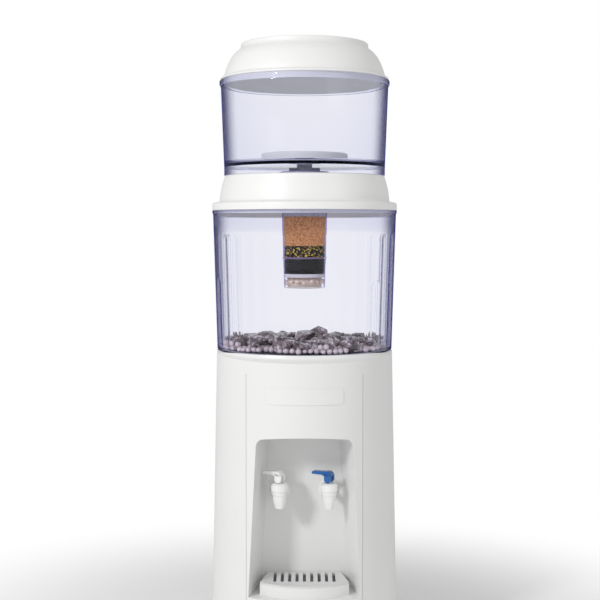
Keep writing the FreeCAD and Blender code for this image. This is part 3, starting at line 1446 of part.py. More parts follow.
os.makedirs("parts", exist_ok=True)
for node in nodes:
    node.Shape.exportStep(f"parts/{node.Label}.step")
print(len(nodes), "sub-parts written")
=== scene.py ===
import json
import math
import random

import bmesh
import bpy
from mathutils import Matrix, Vector, noise


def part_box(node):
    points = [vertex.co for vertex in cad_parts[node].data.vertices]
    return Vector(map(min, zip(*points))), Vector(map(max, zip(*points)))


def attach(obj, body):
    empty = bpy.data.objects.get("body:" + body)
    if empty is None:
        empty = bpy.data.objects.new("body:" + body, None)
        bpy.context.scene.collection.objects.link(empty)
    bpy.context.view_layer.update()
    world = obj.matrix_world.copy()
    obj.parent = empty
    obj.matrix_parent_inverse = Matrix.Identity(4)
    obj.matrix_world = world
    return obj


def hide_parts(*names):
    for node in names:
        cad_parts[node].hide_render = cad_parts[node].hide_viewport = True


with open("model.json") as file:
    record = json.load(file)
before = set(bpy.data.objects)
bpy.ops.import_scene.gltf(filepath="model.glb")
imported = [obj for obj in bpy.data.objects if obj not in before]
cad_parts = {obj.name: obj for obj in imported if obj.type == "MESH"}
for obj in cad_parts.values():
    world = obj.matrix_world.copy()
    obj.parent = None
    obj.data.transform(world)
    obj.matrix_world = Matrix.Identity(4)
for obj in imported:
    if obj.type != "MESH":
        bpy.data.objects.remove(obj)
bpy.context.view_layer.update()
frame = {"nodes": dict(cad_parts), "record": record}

MM = 0.001
TURN = 2 * math.pi
scene = bpy.context.scene
random.seed(11)
noise.seed_set(11)

# Heights and radii that the pieces share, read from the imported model, in millimetres


def low(node):
    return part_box(node)[0] / MM


def high(node):
    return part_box(node)[1] / MM


SEAT = high("top_collar").z
COVER = high("lower_tank").z
UPPER = high("middle_cover").z
LID = high("upper_tank").z
TOP = high("lid").z
RIM = high("lower_tank").x
LEVER_TURN = math.radians(-115)

# Camera: the photograph's distance, eye height and focal length

EYE_DISTANCE = 2100.0
EYE_HEIGHT = 688.0
FOCAL_PIXELS = 1243.0
FRAME_PIXELS = 600.0
EYE_LINE_PIXEL = 232.0
AXIS_PIXEL = 304.5

camera_data = bpy.data.cameras.new("camera")
camera = bpy.data.objects.new("camera", camera_data)
scene.collection.objects.link(camera)
camera_data.sensor_width = 36.0
camera_data.lens = FOCAL_PIXELS / FRAME_PIXELS * camera_data.sensor_width
camera_data.clip_end = 50.0
dip = math.atan((FRAME_PIXELS / 2 - EYE_LINE_PIXEL) / FOCAL_PIXELS)
swing = math.atan((AXIS_PIXEL - FRAME_PIXELS / 2) / FOCAL_PIXELS)
camera.location = (0, -EYE_DISTANCE * MM, EYE_HEIGHT * MM)
camera.rotation_euler = (math.pi / 2 - dip, 0, swing)
scene.camera = camera
scene.view_settings.view_transform = "Standard"

# Materials


def new_material(name):
    material = bpy.data.materials.new(name)
    material.use_nodes = True
    tree = material.node_tree
    return material, tree, tree.nodes["Principled BSDF"]


def link(tree, a, b):
    tree.links.new(a, b)


def set_inputs(node, values):
    for name, value in values.items():
        node.inputs[name].default_value = value


def add_node(tree, kind, values=None):
    """A new shader node with some of its inputs set."""
    node = tree.nodes.new("ShaderNode" + kind)
    set_inputs(node, values or {})
    return node


def coordinates(tree, scale=(1, 1, 1)):
    where = add_node(tree, "TexCoord")
    mapping = add_node(tree, "Mapping", {"Scale": scale})
    link(tree, where.outputs["Object"], mapping.inputs["Vector"])
    return mapping.outputs["Vector"]


def noise_value(tree, vector, scale, detail=3.0, rough=0.5):
    grain = add_node(tree, "TexNoise", {"Scale": scale, "Detail": detail, "Roughness": rough})
    link(tree, vector, grain.inputs["Vector"])
    return grain.outputs["Fac"]


def maths(tree, operation, *sources):
    """One value worked out from others."""
    node = add_node(tree, "Math")
    node.operation = operation
    for place, source in enumerate(sources):
        link(tree, source, node.inputs[place])
    return node.outputs[0]


def remap(tree, source, from_range=(0.0, 1.0), to_range=(0.0, 1.0), kind="LINEAR"):
    """A value carried from one range to another, and held at the ends."""
    node = add_node(tree, "MapRange", {
        "From Min": from_range[0], "From Max": from_range[1],
        "To Min": to_range[0], "To Max": to_range[1],
    })
    node.interpolation_type = kind
    link(tree, source, node.inputs["Value"])
    return node.outputs["Result"]


def ramp(tree, source, stops, kind="LINEAR"):
    """A colour for each value, from (place, colour) stops."""
    node = add_node(tree, "ValToRGB")
    points = node.color_ramp.elements
    while len(points) < len(stops):
        points.new(0.5)
    for point, (where, colour) in zip(points, stops):
        point.position = where
        point.color = (*colour, 1)
    node.color_ramp.interpolation = kind
    link(tree, source, node.inputs["Fac"])
    return node.outputs["Color"]


def bump(tree, shader, source, strength, distance, under=None, invert=False):
    """Relief from a value, over the softened edges if they are given."""
    node = add_node(tree, "Bump", {"Strength": strength, "Distance": distance})
    node.invert = invert
    link(tree, source, node.inputs["Height"])
    if under is not None:
        link(tree, under, node.inputs["Normal"])
    link(tree, node.outputs["Normal"], shader.inputs["Normal"])


def rough_range(tree, shader, source, smooth, rough):
    """Roughness that wanders between two values."""
    link(tree, remap(tree, source, to_range=(smooth, rough)), shader.inputs["Roughness"])


def either_ray(tree, first, second):
    """1 for light paths of the two kinds named, and 0 for the others."""
    rays = add_node(tree, "LightPath")
    return maths(tree, "MAXIMUM", rays.outputs[first], rays.outputs[second])


def mixed_shader(tree, share, first, second):
    """Two shaders blended by the second one's share."""
    node = add_node(tree, "MixShader")
    for socket, source in (("Fac", share), (1, first), (2, second)):
        link(tree, source, node.inputs[socket])
    return node.outputs[0]


def moulded(name, colour, rough=0.3, coat=0.0, grain=900.0, depth=0.00003, spread=0.02, edge=0.0):
    """Moulded plastic: faint colour drift, fine surface grain and softened edges."""
    material, tree, shader = new_material(name)
    vector = coordinates(tree)
    drift = noise_value(tree, vector, 7.0, 4.0)
    darker = tuple(part * (1 - spread) for part in colour)
    link(tree, ramp(tree, drift, [(0.3, darker), (0.7, colour)]), shader.inputs["Base Color"])
    rough_range(tree, shader, drift, rough * 0.88, rough * 1.12)
    under = None
    if edge > 0:
        round_edge = add_node(tree, "Bevel", {"Radius": edge})
        round_edge.samples = 4
        under = round_edge.outputs["Normal"]
    bump(tree, shader, noise_value(tree, vector, grain, 2.0), 0.25, depth, under)
    set_inputs(shader, {"Coat Weight": coat, "Coat Roughness": 0.2, "IOR": 1.5})
    return material


def wall_edge_share(tree):
    """How far an upright wall is seen edge-on; level faces stay at nought."""
    facing = add_node(tree, "LayerWeight", {"Blend": 0.5})
    edge_on = remap(tree, facing.outputs["Facing"], (0.42, 0.96), kind="SMOOTHSTEP")
    surface = add_node(tree, "NewGeometry")
    parts = add_node(tree, "SeparateXYZ")
    link(tree, surface.outputs["Normal"], parts.inputs[0])
    level = maths(tree, "ABSOLUTE", parts.outputs["Z"])
    upright = remap(tree, level, (0.3, 0.8), (1.0, 0.0))
    return maths(tree, "MULTIPLY", edge_on, upright)


def clear_plastic(name, density, colour, rim):
    """Clear plastic, tinted by the length looked through and darker edge-on; light passes it freely."""
    material, tree, shader = new_material(name)
    set_inputs(shader, {"Base Color": (1, 1, 1, 1), "Transmission Weight": 1.0, "IOR": 1.22})
    rough_range(tree, shader, noise_value(tree, coordinates(tree), 12.0), 0.003, 0.009)
    ripple = noise_value(tree, coordinates(tree, (1, 1, 0.35)), 22.0, 2.0)
    bump(tree, shader, ripple, 0.12, 0.0002)
    tinted = add_node(tree, "BsdfTransparent", {"Color": (*rim, 1)})
    wall = mixed_shader(tree, wall_edge_share(tree), shader.outputs["BSDF"], tinted.outputs["BSDF"])
    passing = add_node(tree, "BsdfTransparent")
    lighting = either_ray(tree, "Is Shadow Ray", "Is Diffuse Ray")
    outputs = tree.nodes["Material Output"].inputs
    link(tree, mixed_shader(tree, lighting, wall, passing.outputs["BSDF"]), outputs["Surface"])
    soak = add_node(tree, "VolumeAbsorption", {"Color": (*colour, 1), "Density": density})
    link(tree, soak.outputs["Volume"], outputs["Volume"])
    return material


def granules(name, colours, size, rough=0.6):
    """Loose grains: a cell pattern of mixed colours with raised cells."""
    material, tree, shader = new_material(name)
    cells = add_node(tree, "TexVoronoi", {"Scale": 1 / size})
    link(tree, coordinates(tree), cells.inputs["Vector"])
    pick = add_node(tree, "SeparateColor")
    link(tree, cells.outputs["Color"], pick.inputs["Color"])
    link(tree, ramp(tree, pick.outputs["Red"], colours, "CONSTANT"), shader.inputs["Base Color"])
    rough_range(tree, shader, pick.outputs["Green"], rough * 0.7, rough * 1.2)
    bump(tree, shader, cells.outputs["Distance"], 0.9, 0.0006, invert=True)
    set_inputs(shader, {"IOR": 1.3})
    return material


def metal(name, colour, rough):
    """Brushed metal."""
    material, tree, shader = new_material(name)
    set_inputs(shader, {"Metallic": 1.0, "Base Color": (*colour, 1)})
    grain = noise_value(tree, coordinates(tree, (1, 1, 30)), 160.0)
    rough_range(tree, shader, grain, rough * 0.7, rough * 1.3)
    bump(tree, shader, grain, 0.15, 0.00005)
    return material


def rock(name):
    """Crystalline stone, grey with a mauve cast, with pale veins and a sparkle."""
    material, tree, shader = new_material(name)
    vector = coordinates(tree)
    cloud = noise_value(tree, vector, 120.0, 5.0, 0.6)
    tint = ramp(tree, cloud, [
        (0.40, (0.05, 0.032, 0.04)), (0.50, (0.15, 0.108, 0.12)), (0.58, (0.27, 0.215, 0.235)),
        (0.63, (0.72, 0.67, 0.70)),
    ])
    link(tree, tint, shader.inputs["Base Color"])
    sparkle = add_node(tree, "TexVoronoi", {"Scale": 420.0})
    link(tree, vector, sparkle.inputs["Vector"])
    bump(tree, shader, sparkle.outputs["Distance"], 0.7, 0.0007)
    rough_range(tree, shader, cloud, 0.08, 0.4)
    set_inputs(shader, {"Coat Weight": 0.4, "Coat Roughness": 0.05})
    return material


WHITE = (0.86, 0.86, 0.85)
mat = {
    "white_housing": moulded("white_housing", (0.82, 0.82, 0.81), 0.36, 0.1),
    "white_cover": moulded("white_cover", WHITE, 0.42, 0.25),
    "white_trim": moulded("white_trim", (0.83, 0.83, 0.82), 0.3, 0.2, edge=0.0005),
    "grey_base": moulded("grey_base", (0.42, 0.42, 0.42), 0.5, edge=0.0005),
    "rubber_feet": moulded("rubber_feet", (0.03, 0.03, 0.03), 0.8, grain=500.0, depth=0.0001),
    "rubber_seal": moulded("rubber_seal", (0.6, 0.6, 0.58), 0.6, grain=500.0),
    "reservoir_plastic": moulded("reservoir_plastic", (0.7, 0.7, 0.68), 0.45),
    "foam": moulded("foam", (0.8, 0.8, 0.77), 0.9, grain=240.0, depth=0.0008),
    "ceramic_module": moulded("ceramic_module", (0.8, 0.8, 0.78), 0.5),
    "black_plastic": moulded("black_plastic", (0.02, 0.02, 0.022), 0.45, edge=0.0004),
    "rocker_plastic": moulded("rocker_plastic", (0.025, 0.025, 0.028), 0.3, 0.3, edge=0.0004),
    "grille_plastic": moulded("grille_plastic", (0.72, 0.72, 0.72), 0.35, edge=0.0005),
    "tap_white": moulded("tap_white", (0.88, 0.88, 0.87), 0.25, 0.3),
    "lever_white": moulded("lever_white", (0.88, 0.88, 0.87), 0.25, 0.3),
    "lever_blue": moulded("lever_blue", (0.004, 0.115, 0.40), 0.22, 0.25, spread=0.12),
    "nut_plastic": moulded("nut_plastic", (0.66, 0.66, 0.64), 0.5, edge=0.0005),
    "hose_silicone": moulded("hose_silicone", (0.68, 0.68, 0.66), 0.5),
    "cartridge_white": moulded("cartridge_white", (0.66, 0.64, 0.76), 0.3, 0.2, edge=0.0005),
    "divider_plastic": moulded("divider_plastic", (0.20, 0.14, 0.27), 0.35),
    "filter_ceramic": moulded(
        "filter_ceramic", (0.78, 0.78, 0.78), 0.85, grain=420.0, depth=0.0002, spread=0.06),
    "tinted_clear": clear_plastic("tinted_clear", 40.0, (0.07, 0.11, 0.55), (0.27, 0.25, 0.57)),
    "cartridge_clear": clear_plastic("cartridge_clear", 2.0, (0.4, 0.4, 0.8), (0.6, 0.56, 0.8)),
    "orange_media": granules("orange_media", [
        (0.0, (0.84, 0.36, 0.15)), (0.3, (0.94, 0.48, 0.22)), (0.6, (0.62, 0.22, 0.07)),
        (0.82, (0.98, 0.60, 0.32)),
    ], 0.0016),
    "speckled_media": granules("speckled_media", [
        (0.0, (0.004, 0.003, 0.003)), (0.5, (0.012, 0.009, 0.006)), (0.80, (0.92, 0.64, 0.10)),
        (0.93, (0.30, 0.18, 0.06)),
    ], 0.0019),
    "carbon": granules("carbon", [
        (0.0, (0.002, 0.002, 0.003)), (0.6, (0.005, 0.005, 0.006)), (0.9, (0.02, 0.02, 0.024)),
    ], 0.0019, rough=0.5),
    "pad_fibre": granules("pad_fibre", [
        (0.0, (0.70, 0.68, 0.76)), (0.5, (0.78, 0.76, 0.82)), (0.8, (0.62, 0.60, 0.70)),
    ], 0.0012, rough=0.9),
    "lilac_foam": granules("lilac_foam", [
        (0.0, (0.42, 0.40, 0.50)), (0.4, (0.52, 0.50, 0.60)), (0.8, (0.34, 0.32, 0.42)),
    ], 0.0014, rough=0.9),
    "bead_ceramic": moulded("bead_ceramic", (0.90, 0.74, 0.65), 0.7, grain=600.0, spread=0.15),
    "pink_mineral": moulded("pink_mineral", (0.72, 0.62, 0.65), 0.5, grain=600.0, spread=0.12),
    "aluminium": metal("aluminium", (0.72, 0.73, 0.74), 0.4),
    "steel_fastener": metal("steel_fastener", (0.6, 0.6, 0.62), 0.3),
    "spring_steel": metal("spring_steel", (0.6, 0.6, 0.62), 0.3),
    "grey_stone": rock("grey_stone"),
}

slots = {part["node"]: part["material_slot"] for part in frame["record"]["subparts"]}
for name, node in frame["nodes"].items():
    node.data.materials.clear()
    node.data.materials.append(mat[slots[name]])

# Mesh helpers


def new_piece(name, mesh, body, slot_name, *nodes, smooth=True):
    """Finishes a mesh as a piece: the material of its slot, shading, its body, and hiding the nodes it
    stands for.
    """
    piece = bpy.data.objects.new(name, mesh)
    scene.collection.objects.link(piece)
    mesh.materials.append(mat[slot_name])
    mesh.polygons.foreach_set("use_smooth", [smooth] * len(mesh.polygons))
    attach(piece, body)
    if nodes:
        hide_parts(*nodes)
    return piece


def arc(centre, radius, start, end, steps=8):
    """Points of a round stretch of a section, from one angle to another, in degrees."""
    points = []
    for step in range(steps + 1):
        angle = math.radians(start + (end - start) * step / steps)
        points.append((centre[0] + radius * math.cos(angle), centre[1] + radius * math.sin(angle)))
    return points


def between(start, end, share):
    return start + (end - start) * share


def soft_share(share):
    """A share from 0 to 1 that starts and ends gently."""
    return share * share * (3 - 2 * share)


def around(reach, angle):
    """The place (x, y) at a distance from the axis and an angle from straight ahead."""
    return reach * math.sin(angle), -reach * math.cos(angle)


def at(x, y, z):
    return Matrix.Translation((x * MM, y * MM, z * MM))


def outward_mesh(name, verts, faces):
    """A mesh from points and faces, with every face turned outwards."""
    mesh = bpy.data.meshes.new(name)
    mesh.from_pydata(verts, [], faces)
    solid = bmesh.new()
    solid.from_mesh(mesh)
    bmesh.ops.recalc_face_normals(solid, faces=solid.faces)
    solid.to_mesh(mesh)
    solid.free()
    return mesh


def finished_mesh(name, solid):
    """Turns a solid under work into a mesh."""
    mesh = bpy.data.meshes.new(name)
    solid.to_mesh(mesh)
    solid.free()
    return mesh


def add_solid(solid, part):
    """Moves every face of a part into a solid."""
    copies = {vert: solid.verts.new(vert.co) for vert in part.verts}
    for face in part.faces:
        solid.faces.new([copies[vert] for vert in face.verts])
    part.free()


def rings_mesh(name, rings, segments, shape=None, closed=True):
    """A skin over rings of (radius, height); shape(angle, radius, height, index) may move a radius."""
    verts = []
    rows = []
    for index, (radius, height) in enumerate(rings):
        first = len(verts)
        if radius == 0:
            verts.append((0, 0, height * MM))
            rows.append([first] * segments)
            continue
        for step in range(segments):
            angle = TURN * step / segments
            reach = shape(angle, radius, height, index) if shape else radius
            x, y = around(reach, angle)
            verts.append((x * MM, y * MM, height * MM))
        rows.append(list(range(first, first + segments)))
    faces = []
    for index in range(len(rows) if closed else len(rows) - 1):
        near, far = rows[index], rows[(index + 1) % len(rows)]
        for step in range(segments):
            after = (step + 1) % segments
            corners = dict.fromkeys((near[step], far[step], far[after], near[after]))
            if len(corners) > 2:
                faces.append(tuple(corners))
    return outward_mesh(name, verts, faces)


def sweep_mesh(name, sections):
    """A skin over a row of closed sections with as many points each, shut at both ends."""
    count = len(sections[0])
    verts = [(x * MM, y * MM, z * MM) for section in sections for x, y, z in section]
    faces = []
    for base in range(0, len(verts) - count, count):
        for point in range(count):
            after = (point + 1) % count
            faces.append((base + point, base + after, base + count + after, base + count + point))
    faces.append(tuple(range(count)))
    faces.append(tuple(range(len(verts) - 1, len(verts) - 1 - count, -1)))
    return outward_mesh(name, verts, faces)


def sharpen(piece, degrees=35.0):
    """Keeps edges steeper than the angle crisp under smooth shading."""
    piece.data.set_sharp_from_angle(angle=math.radians(degrees))


# Lid: ring, dome and plug

RING = 106.5
# The dome's outline, as (radius, height below the lid's top)
DOME = (
    (107.6, 8.9), (109.6, 10.4), (112.6, 12.9), (115.8, 15.6), (118.8, 18.8), (121.6, 22.4), (124.2, 26.4),
    (126.6, 31.0), (128.9, 36.0), (130.9, 41.0), (132.7, 46.0), (134.0, 50.5),
)


def build_lid():
    """Sunken middle, ring, dome, rolled foot, plug and the hollow inside, in this order."""
    foot = LID + 7.0
    section = [
        (0, TOP - 11), (RING - 16, TOP - 11), *arc((RING - 16, TOP - 6), 5, -90, 0, 5),
        *arc((RING - 8.5, TOP - 2.5), 2.5, 180, 90, 5), *arc((RING - 2.5, TOP - 2.5), 2.5, 90, 0, 6),
        (RING, TOP - 7.0),
    ]
    section += [(radius, TOP - fall) for radius, fall in DOME]
    section += [
        (134.6, foot), (136.0, foot - 1.4), (138.6, foot - 2.2), *arc((139.0, LID + 2.2), 1.8, 70, -90, 6),
        (135.6, LID + 0.2), (134.6, LID - 7), (132, LID - 7), (131.6, LID + 4),
        (128, LID + 10), (RING + 4, TOP - 17), (RING - 14, TOP - 14.5), (0, TOP - 14.5),
    ]
    mesh = rings_mesh("lid_shell", section, 160, closed=False)
    sharpen(new_piece("lid_shell", mesh, "lid", "white_cover", "lid"))


build_lid()

# Upper tank

FLOOR_TOP = low("stem_gasket").z
UPPER_BEAD = 142.2
UPPER_TOP_RADIUS = 140.0
UPPER_LOW_RADIUS = 134.8
UPPER_WALL = 2.6
UPPER_FLOOR = 4.0
STEM_HOLE = 8.4
WALL_STEPS = 8


def build_upper_tank():
    """A tapering bowl with a rounded rim, and a hole in its floor for the holder's stem."""
    inner_low = UPPER_LOW_RADIUS - UPPER_WALL
    inner_top = UPPER_TOP_RADIUS - UPPER_WALL
    underside = FLOOR_TOP - UPPER_FLOOR
    section = [
        (STEM_HOLE, underside), (inner_low - 6, underside), (inner_low, underside - 1.2),
        (inner_low, UPPER + 0.2), (UPPER_LOW_RADIUS, UPPER + 0.2), (UPPER_LOW_RADIUS, UPPER + 10),
    ]
    for step in range(1, WALL_STEPS + 1):
        share = step / WALL_STEPS
        radius = between(UPPER_LOW_RADIUS, UPPER_TOP_RADIUS, share)
        section.append((radius, between(UPPER + 10, LID - 11, share)))
    section += [
        *arc((UPPER_BEAD - 2.4, LID - 7.2), 2.4, -90, 0, 5),
        *arc((UPPER_BEAD - 2.4, LID - 2.4), 2.4, 0, 90, 5), (inner_top, LID), (inner_top - 0.2, LID - 6),
    ]
    for step in range(WALL_STEPS, -1, -1):
        share = step / WALL_STEPS
        section.append((between(inner_low, inner_top, share), between(FLOOR_TOP + 7, LID - 13, share)))
    section += [*arc((inner_low - 6, FLOOR_TOP + 6), 6, 0, -90, 6), (STEM_HOLE, FLOOR_TOP)]
    mesh = rings_mesh("upper_bowl", section, 160)
    sharpen(new_piece("upper_bowl", mesh, "upper_vessel", "tinted_clear", "upper_tank"))


build_upper_tank()

# Cover between the tanks

COVER_STEPS = 12


def build_cover():
    """A sloping skirt with a slight bulge, a wide flange, and a neck that takes the cartridge."""
    flange = COVER + 13
    section = [(45, UPPER), *arc((131.8, UPPER - 3), 3, 90, 8, 6)]
    for step in range(1, COVER_STEPS + 1):
        share = step / COVER_STEPS
        bulge = 1.3 * math.sin(math.pi * share)
        section.append((between(134.8, 142.4, share) + bulge, between(UPPER - 3.5, flange + 5.5, share)))
    section += [
        *arc((146.2, flange + 4.6), 3.8, 186, 268, 5), (151, flange),
        *arc((151, flange - 4.2), 4.2, 88, 0, 7), (RIM, COVER + 0.15), (147.6, COVER + 0.15),
        (146.8, COVER - 5), (144.8, COVER - 5), (144.8, COVER), (139, flange - 1), (131.3, UPPER - 3.5),
        (48.5, UPPER - 3.5), (48.5, UPPER - 11.5), (45, UPPER - 11.5),
    ]
    mesh = rings_mesh("cover_shell", section, 176)
    sharpen(new_piece("cover_shell", mesh, "cover", "white_cover", "middle_cover"))


build_cover()

# Lower tank: fluted inside and out

FLUTES = 33
FLUTE_HALF = 11.8
FLUTE_DEPTH = 1.2
FLUTE_EDGE = 8.0
FLUTE_LOW = SEAT + 7.0
FLUTE_TOP = 688.0
SHORT_TOP = 612.0
SHORT_FLUTES = {4, 15, 26}
TANK_FOOT = 147.0
TANK_TAPER = 6.7
TANK_WALL = 2.3
BAND_EXTRA = 1.6
BAND_FADE = 10.0
NECK_RADIUS = 27.5
NECK_WALL = 2.5
NECK_LENGTH = 50.0


def tank_radius(height):
    """Outer radius of the plain tapering wall."""
    share = (height - SEAT) / (COVER - 6 - SEAT)
    return TANK_FOOT + TANK_TAPER * share


def flute_dip(angle, height):
    """How far the wall is drawn in by the flute at this place."""
    pitch = TURN / FLUTES
    number = math.floor(angle / pitch)
    across = abs((angle / pitch - number - 0.5) * pitch) * tank_radius(height)
    top = SHORT_TOP if number in SHORT_FLUTES else FLUTE_TOP
    crown = top - FLUTE_HALF
    if height > crown:
        inside = FLUTE_HALF - math.hypot(across, height - crown)
    else:
        inside = min(FLUTE_HALF - across, height - FLUTE_LOW)
    return FLUTE_DEPTH * soft_share(max(0.0, min(1.0, inside / FLUTE_EDGE)))


def inner_gap(height):
    """Wall thickness: heavier in the smooth band over the flutes."""
    share = max(0.0, min(1.0, (height - FLUTE_TOP) / BAND_FADE))
    return TANK_WALL + BAND_EXTRA * share


def wall_heights():
    """Heights of the wall's rings, close together where flutes begin and end."""
    heights = [SEAT + 4.0, FLUTE_LOW - 0.5]
    heights += [FLUTE_LOW + step * 0.8 for step in range(4)]
    heights += [FLUTE_LOW + 8 + step * 12.0 for step in range(7)]
    heights += [SHORT_TOP - 14 + step * 1.6 for step in range(10)]
    heights += [SHORT_TOP + 8 + step * 11.0 for step in range(5)]
    heights += [FLUTE_TOP - 14 + step * 1.6 for step in range(10)]
    heights += [FLUTE_TOP + 6, FLUTE_TOP + 16, COVER - 8.0]
    return heights


def build_lower_tank():
    """Foot, fluted outer wall, rim band, fluted inner wall, floor and neck, in this order."""
    wall_rows = wall_heights()
    neck_low = SEAT - NECK_LENGTH
    section = [(NECK_RADIUS, SEAT + 0.15), (144.5, SEAT + 0.15), (146.2, SEAT + 1.0)]
    first = len(section)
    section += [(tank_radius(z), z) for z in wall_rows]
    last = len(section)
    section += [
        (tank_radius(COVER - 7) + 0.2, COVER - 6.6), *arc((RIM - 1.6, COVER - 4.6), 1.5, -70, 0, 4),
        (RIM - 0.1, COVER - 0.4), (RIM - 0.6, COVER), (149.4, COVER), (149.2, COVER - 2),
    ]
    inner_first = len(section)
    section += [(tank_radius(z) - inner_gap(z), z) for z in reversed(wall_rows[2:])]
    inner_last = len(section)
    section += [
        *arc((tank_radius(SEAT) - TANK_WALL - 5, SEAT + 7.4), 5, 0, -90, 5), (NECK_RADIUS + 4, SEAT + 2.4),
        (NECK_RADIUS - NECK_WALL, SEAT + 2), (NECK_RADIUS - NECK_WALL, neck_low), (NECK_RADIUS, neck_low),
    ]

    def shape(angle, radius, height, index):
        if first <= index < last or inner_first <= index < inner_last:
            return radius - flute_dip(angle, height)
        return radius

    mesh = rings_mesh("lower_bowl", section, FLUTES * 24, shape)
    sharpen(new_piece("lower_bowl", mesh, "lower_vessel", "tinted_clear", "lower_tank"), 50)


build_lower_tank()

# Loose grains, stones and balls


def join_copies(name, template, places):
    """One mesh of many copies of a template, each with its own matrix."""
    verts = []
    faces = []
    source = [vert.co.copy() for vert in template.verts]
    loops = [[vert.index for vert in face.verts] for face in template.faces]
    for matrix in places:
        base = len(verts)
        verts += [matrix @ co for co in source]
        faces += [[base + index for index in loop] for loop in loops]
    mesh = bpy.data.meshes.new(name)
    mesh.from_pydata(verts, [], faces)
    return mesh


def ball_template(radius, segments, rows):
    solid = bmesh.new()
    bmesh.ops.create_uvsphere(solid, u_segments=segments, v_segments=rows, radius=radius * MM)
    solid.verts.index_update()
    return solid


def random_turn():
    """Any turn about any axis."""
    axis = Vector((random.uniform(-1, 1), random.uniform(-1, 1), random.uniform(-1, 1))).normalized()
    return Matrix.Rotation(random.uniform(0, TURN), 4, axis)


def random_turn_flat():
    """Any turn about the upright axis, after a small tilt."""
    lean, nod = [Matrix.Rotation(random.uniform(-0.25, 0.25), 4, axis) for axis in "XY"]
    return Matrix.Rotation(random.uniform(0, TURN), 4, "Z") @ (lean @ nod)


BED = SEAT + 2.8
BALL = 4.7
# Rows of balls along the wall: distance from the axis, layer, and share of places filled
BALL_ROWS = ((138.6, 0, 0.5), (138.2, 1, 0.08), (129.3, 0, 0.8), (119.6, 0, 0.7))
FLOOR_ROWS = (108, 98.5, 89, 79.5, 70, 60.5, 51, 41)


def balls_in_row(reach):
    """How many balls fit side by side round the axis at a distance from it."""
    return int(TURN * reach / (2 * BALL + 0.4))


def build_mineral_balls():
    """Small balls: broken rows along the wall, some on others, and a layer over the floor."""
    places = []
    for reach, layer, share in BALL_ROWS:
        count = balls_in_row(reach)
        for step in range(count):
            angle = TURN * (step + 0.5 * layer) / count + random.uniform(-0.006, 0.006)
            size = random.uniform(0.8, 1.05)
            cluster = 1.1 * noise.noise((6 * math.sin(angle), 6 * math.cos(angle), layer))
            if random.random() > share + cluster:
                continue
            z = BED + BALL + layer * BALL * 1.7 + random.uniform(-0.1, 0.3)
            places.append(at(*around(reach, angle), z) @ Matrix.Scale(size, 4))
    for reach in FLOOR_ROWS:
        count = balls_in_row(reach)
        for step in range(count):
            angle = TURN * (step + 0.3) / count
            places.append(at(*around(reach, angle), BED + BALL + random.uniform(0, 0.8)))
    template = ball_template(BALL, 12, 8)
    mesh = join_copies("mineral_bed", template, places)
    template.free()
    new_piece("mineral_bed", mesh, "lower_vessel", "pink_mineral", "mineral_balls")


CHUNK_POINTS = 15
CHUNK_CHIP = 0.7


def add_stone(solid, size, matrix):
    """Adds one broken chunk to a mesh: the hull of scattered points, with chipped edges."""
    chunk = bmesh.new()
    for _ in range(CHUNK_POINTS):
        direction = Vector((random.gauss(0, 1), random.gauss(0, 1), random.gauss(0, 1))).normalized()
        reach = random.uniform(0.78, 1.08)
        chunk.verts.new(Vector(direction[i] * size[i] * reach * MM for i in range(3)))
    bmesh.ops.convex_hull(chunk, input=chunk.verts)
    bmesh.ops.delete(chunk, geom=[v for v in chunk.verts if not v.link_faces], context="VERTS")
    edges = [edge for edge in chunk.edges if edge.calc_face_angle(0) > 0.25]
    bmesh.ops.bevel(chunk, geom=edges, offset=CHUNK_CHIP * MM, segments=1, profile=0.5, affect="EDGES")
    for vert in chunk.verts:
        vert.co += noise.noise_vector(vert.co * 190) * CHUNK_CHIP * MM
    chunk.transform(matrix)
    add_solid(solid, chunk)


STONE_RING = 17
STONE_RING_REACH = 120.0
STONE_COUNT = 44
STONE_TRIES = 6000
STONE_GAP = 25.0
HEAP_REACH = 104.0
HEAP_BACK = 52.0


def heap_rise(x, y):
    """How far stones stand over the bed: a low mound right of the middle, and a lower one at the left."""
    mound = 12 * math.exp(-((x - 20) / 30) ** 2 - ((y + 10) / 60) ** 2)
    return mound + 3 * math.exp(-((x + 60) / 40) ** 2)


def stone_spots():
    """Places for the stones: first those of the ring, then the heap's; also how many the ring has."""
    spots = []
    for step in range(STONE_RING):
        angle = TURN * (step + random.uniform(-0.2, 0.2)) / STONE_RING
        spot = around(STONE_RING_REACH, angle)
        if spot[1] < HEAP_BACK:
            spots.append(spot)
    ring = len(spots)
    tries = 0
    while len(spots) < STONE_COUNT and tries < STONE_TRIES:
        tries += 1
        spot = (random.uniform(-HEAP_REACH, HEAP_REACH), random.uniform(-HEAP_REACH, HEAP_BACK))
        apart = all(math.hypot(spot[0] - x, spot[1] - y) > STONE_GAP for x, y in spots)
        if apart and math.hypot(*spot) < HEAP_REACH:
            spots.append(spot)
    return spots, ring


def build_stones():
    """Chunks against the front wall and a heap of chunks over the middle of the bed."""
    solid = bmesh.new()
    spots, ring = stone_spots()
    for place, (x, y) in enumerate(spots):
        long_side = random.uniform(20, 26) if place >= ring else random.uniform(17, 21)
        size = (long_side, long_side * random.uniform(0.72, 0.95), random.uniform(9.5, 12.5))
        z = BED + size[2] + 0.8 + heap_rise(x, y)
        add_stone(solid, size, at(x, y, z) @ random_turn_flat())
    solid.normal_update()
    mesh = finished_mesh("stone_heap", solid)
    new_piece("stone_heap", mesh, "lower_vessel", "grey_stone", "mineral_stones", smooth=False)


build_mineral_balls()
build_stones()

# Cartridge: clear tube over its layers, with real grains standing proud of each layer

TUBE_TOP = high("cartridge_sleeve").z
TUBE_END = low("cartridge_sleeve").z
TUBE_WIDE = 39.4
TUBE_NARROW = 35.6


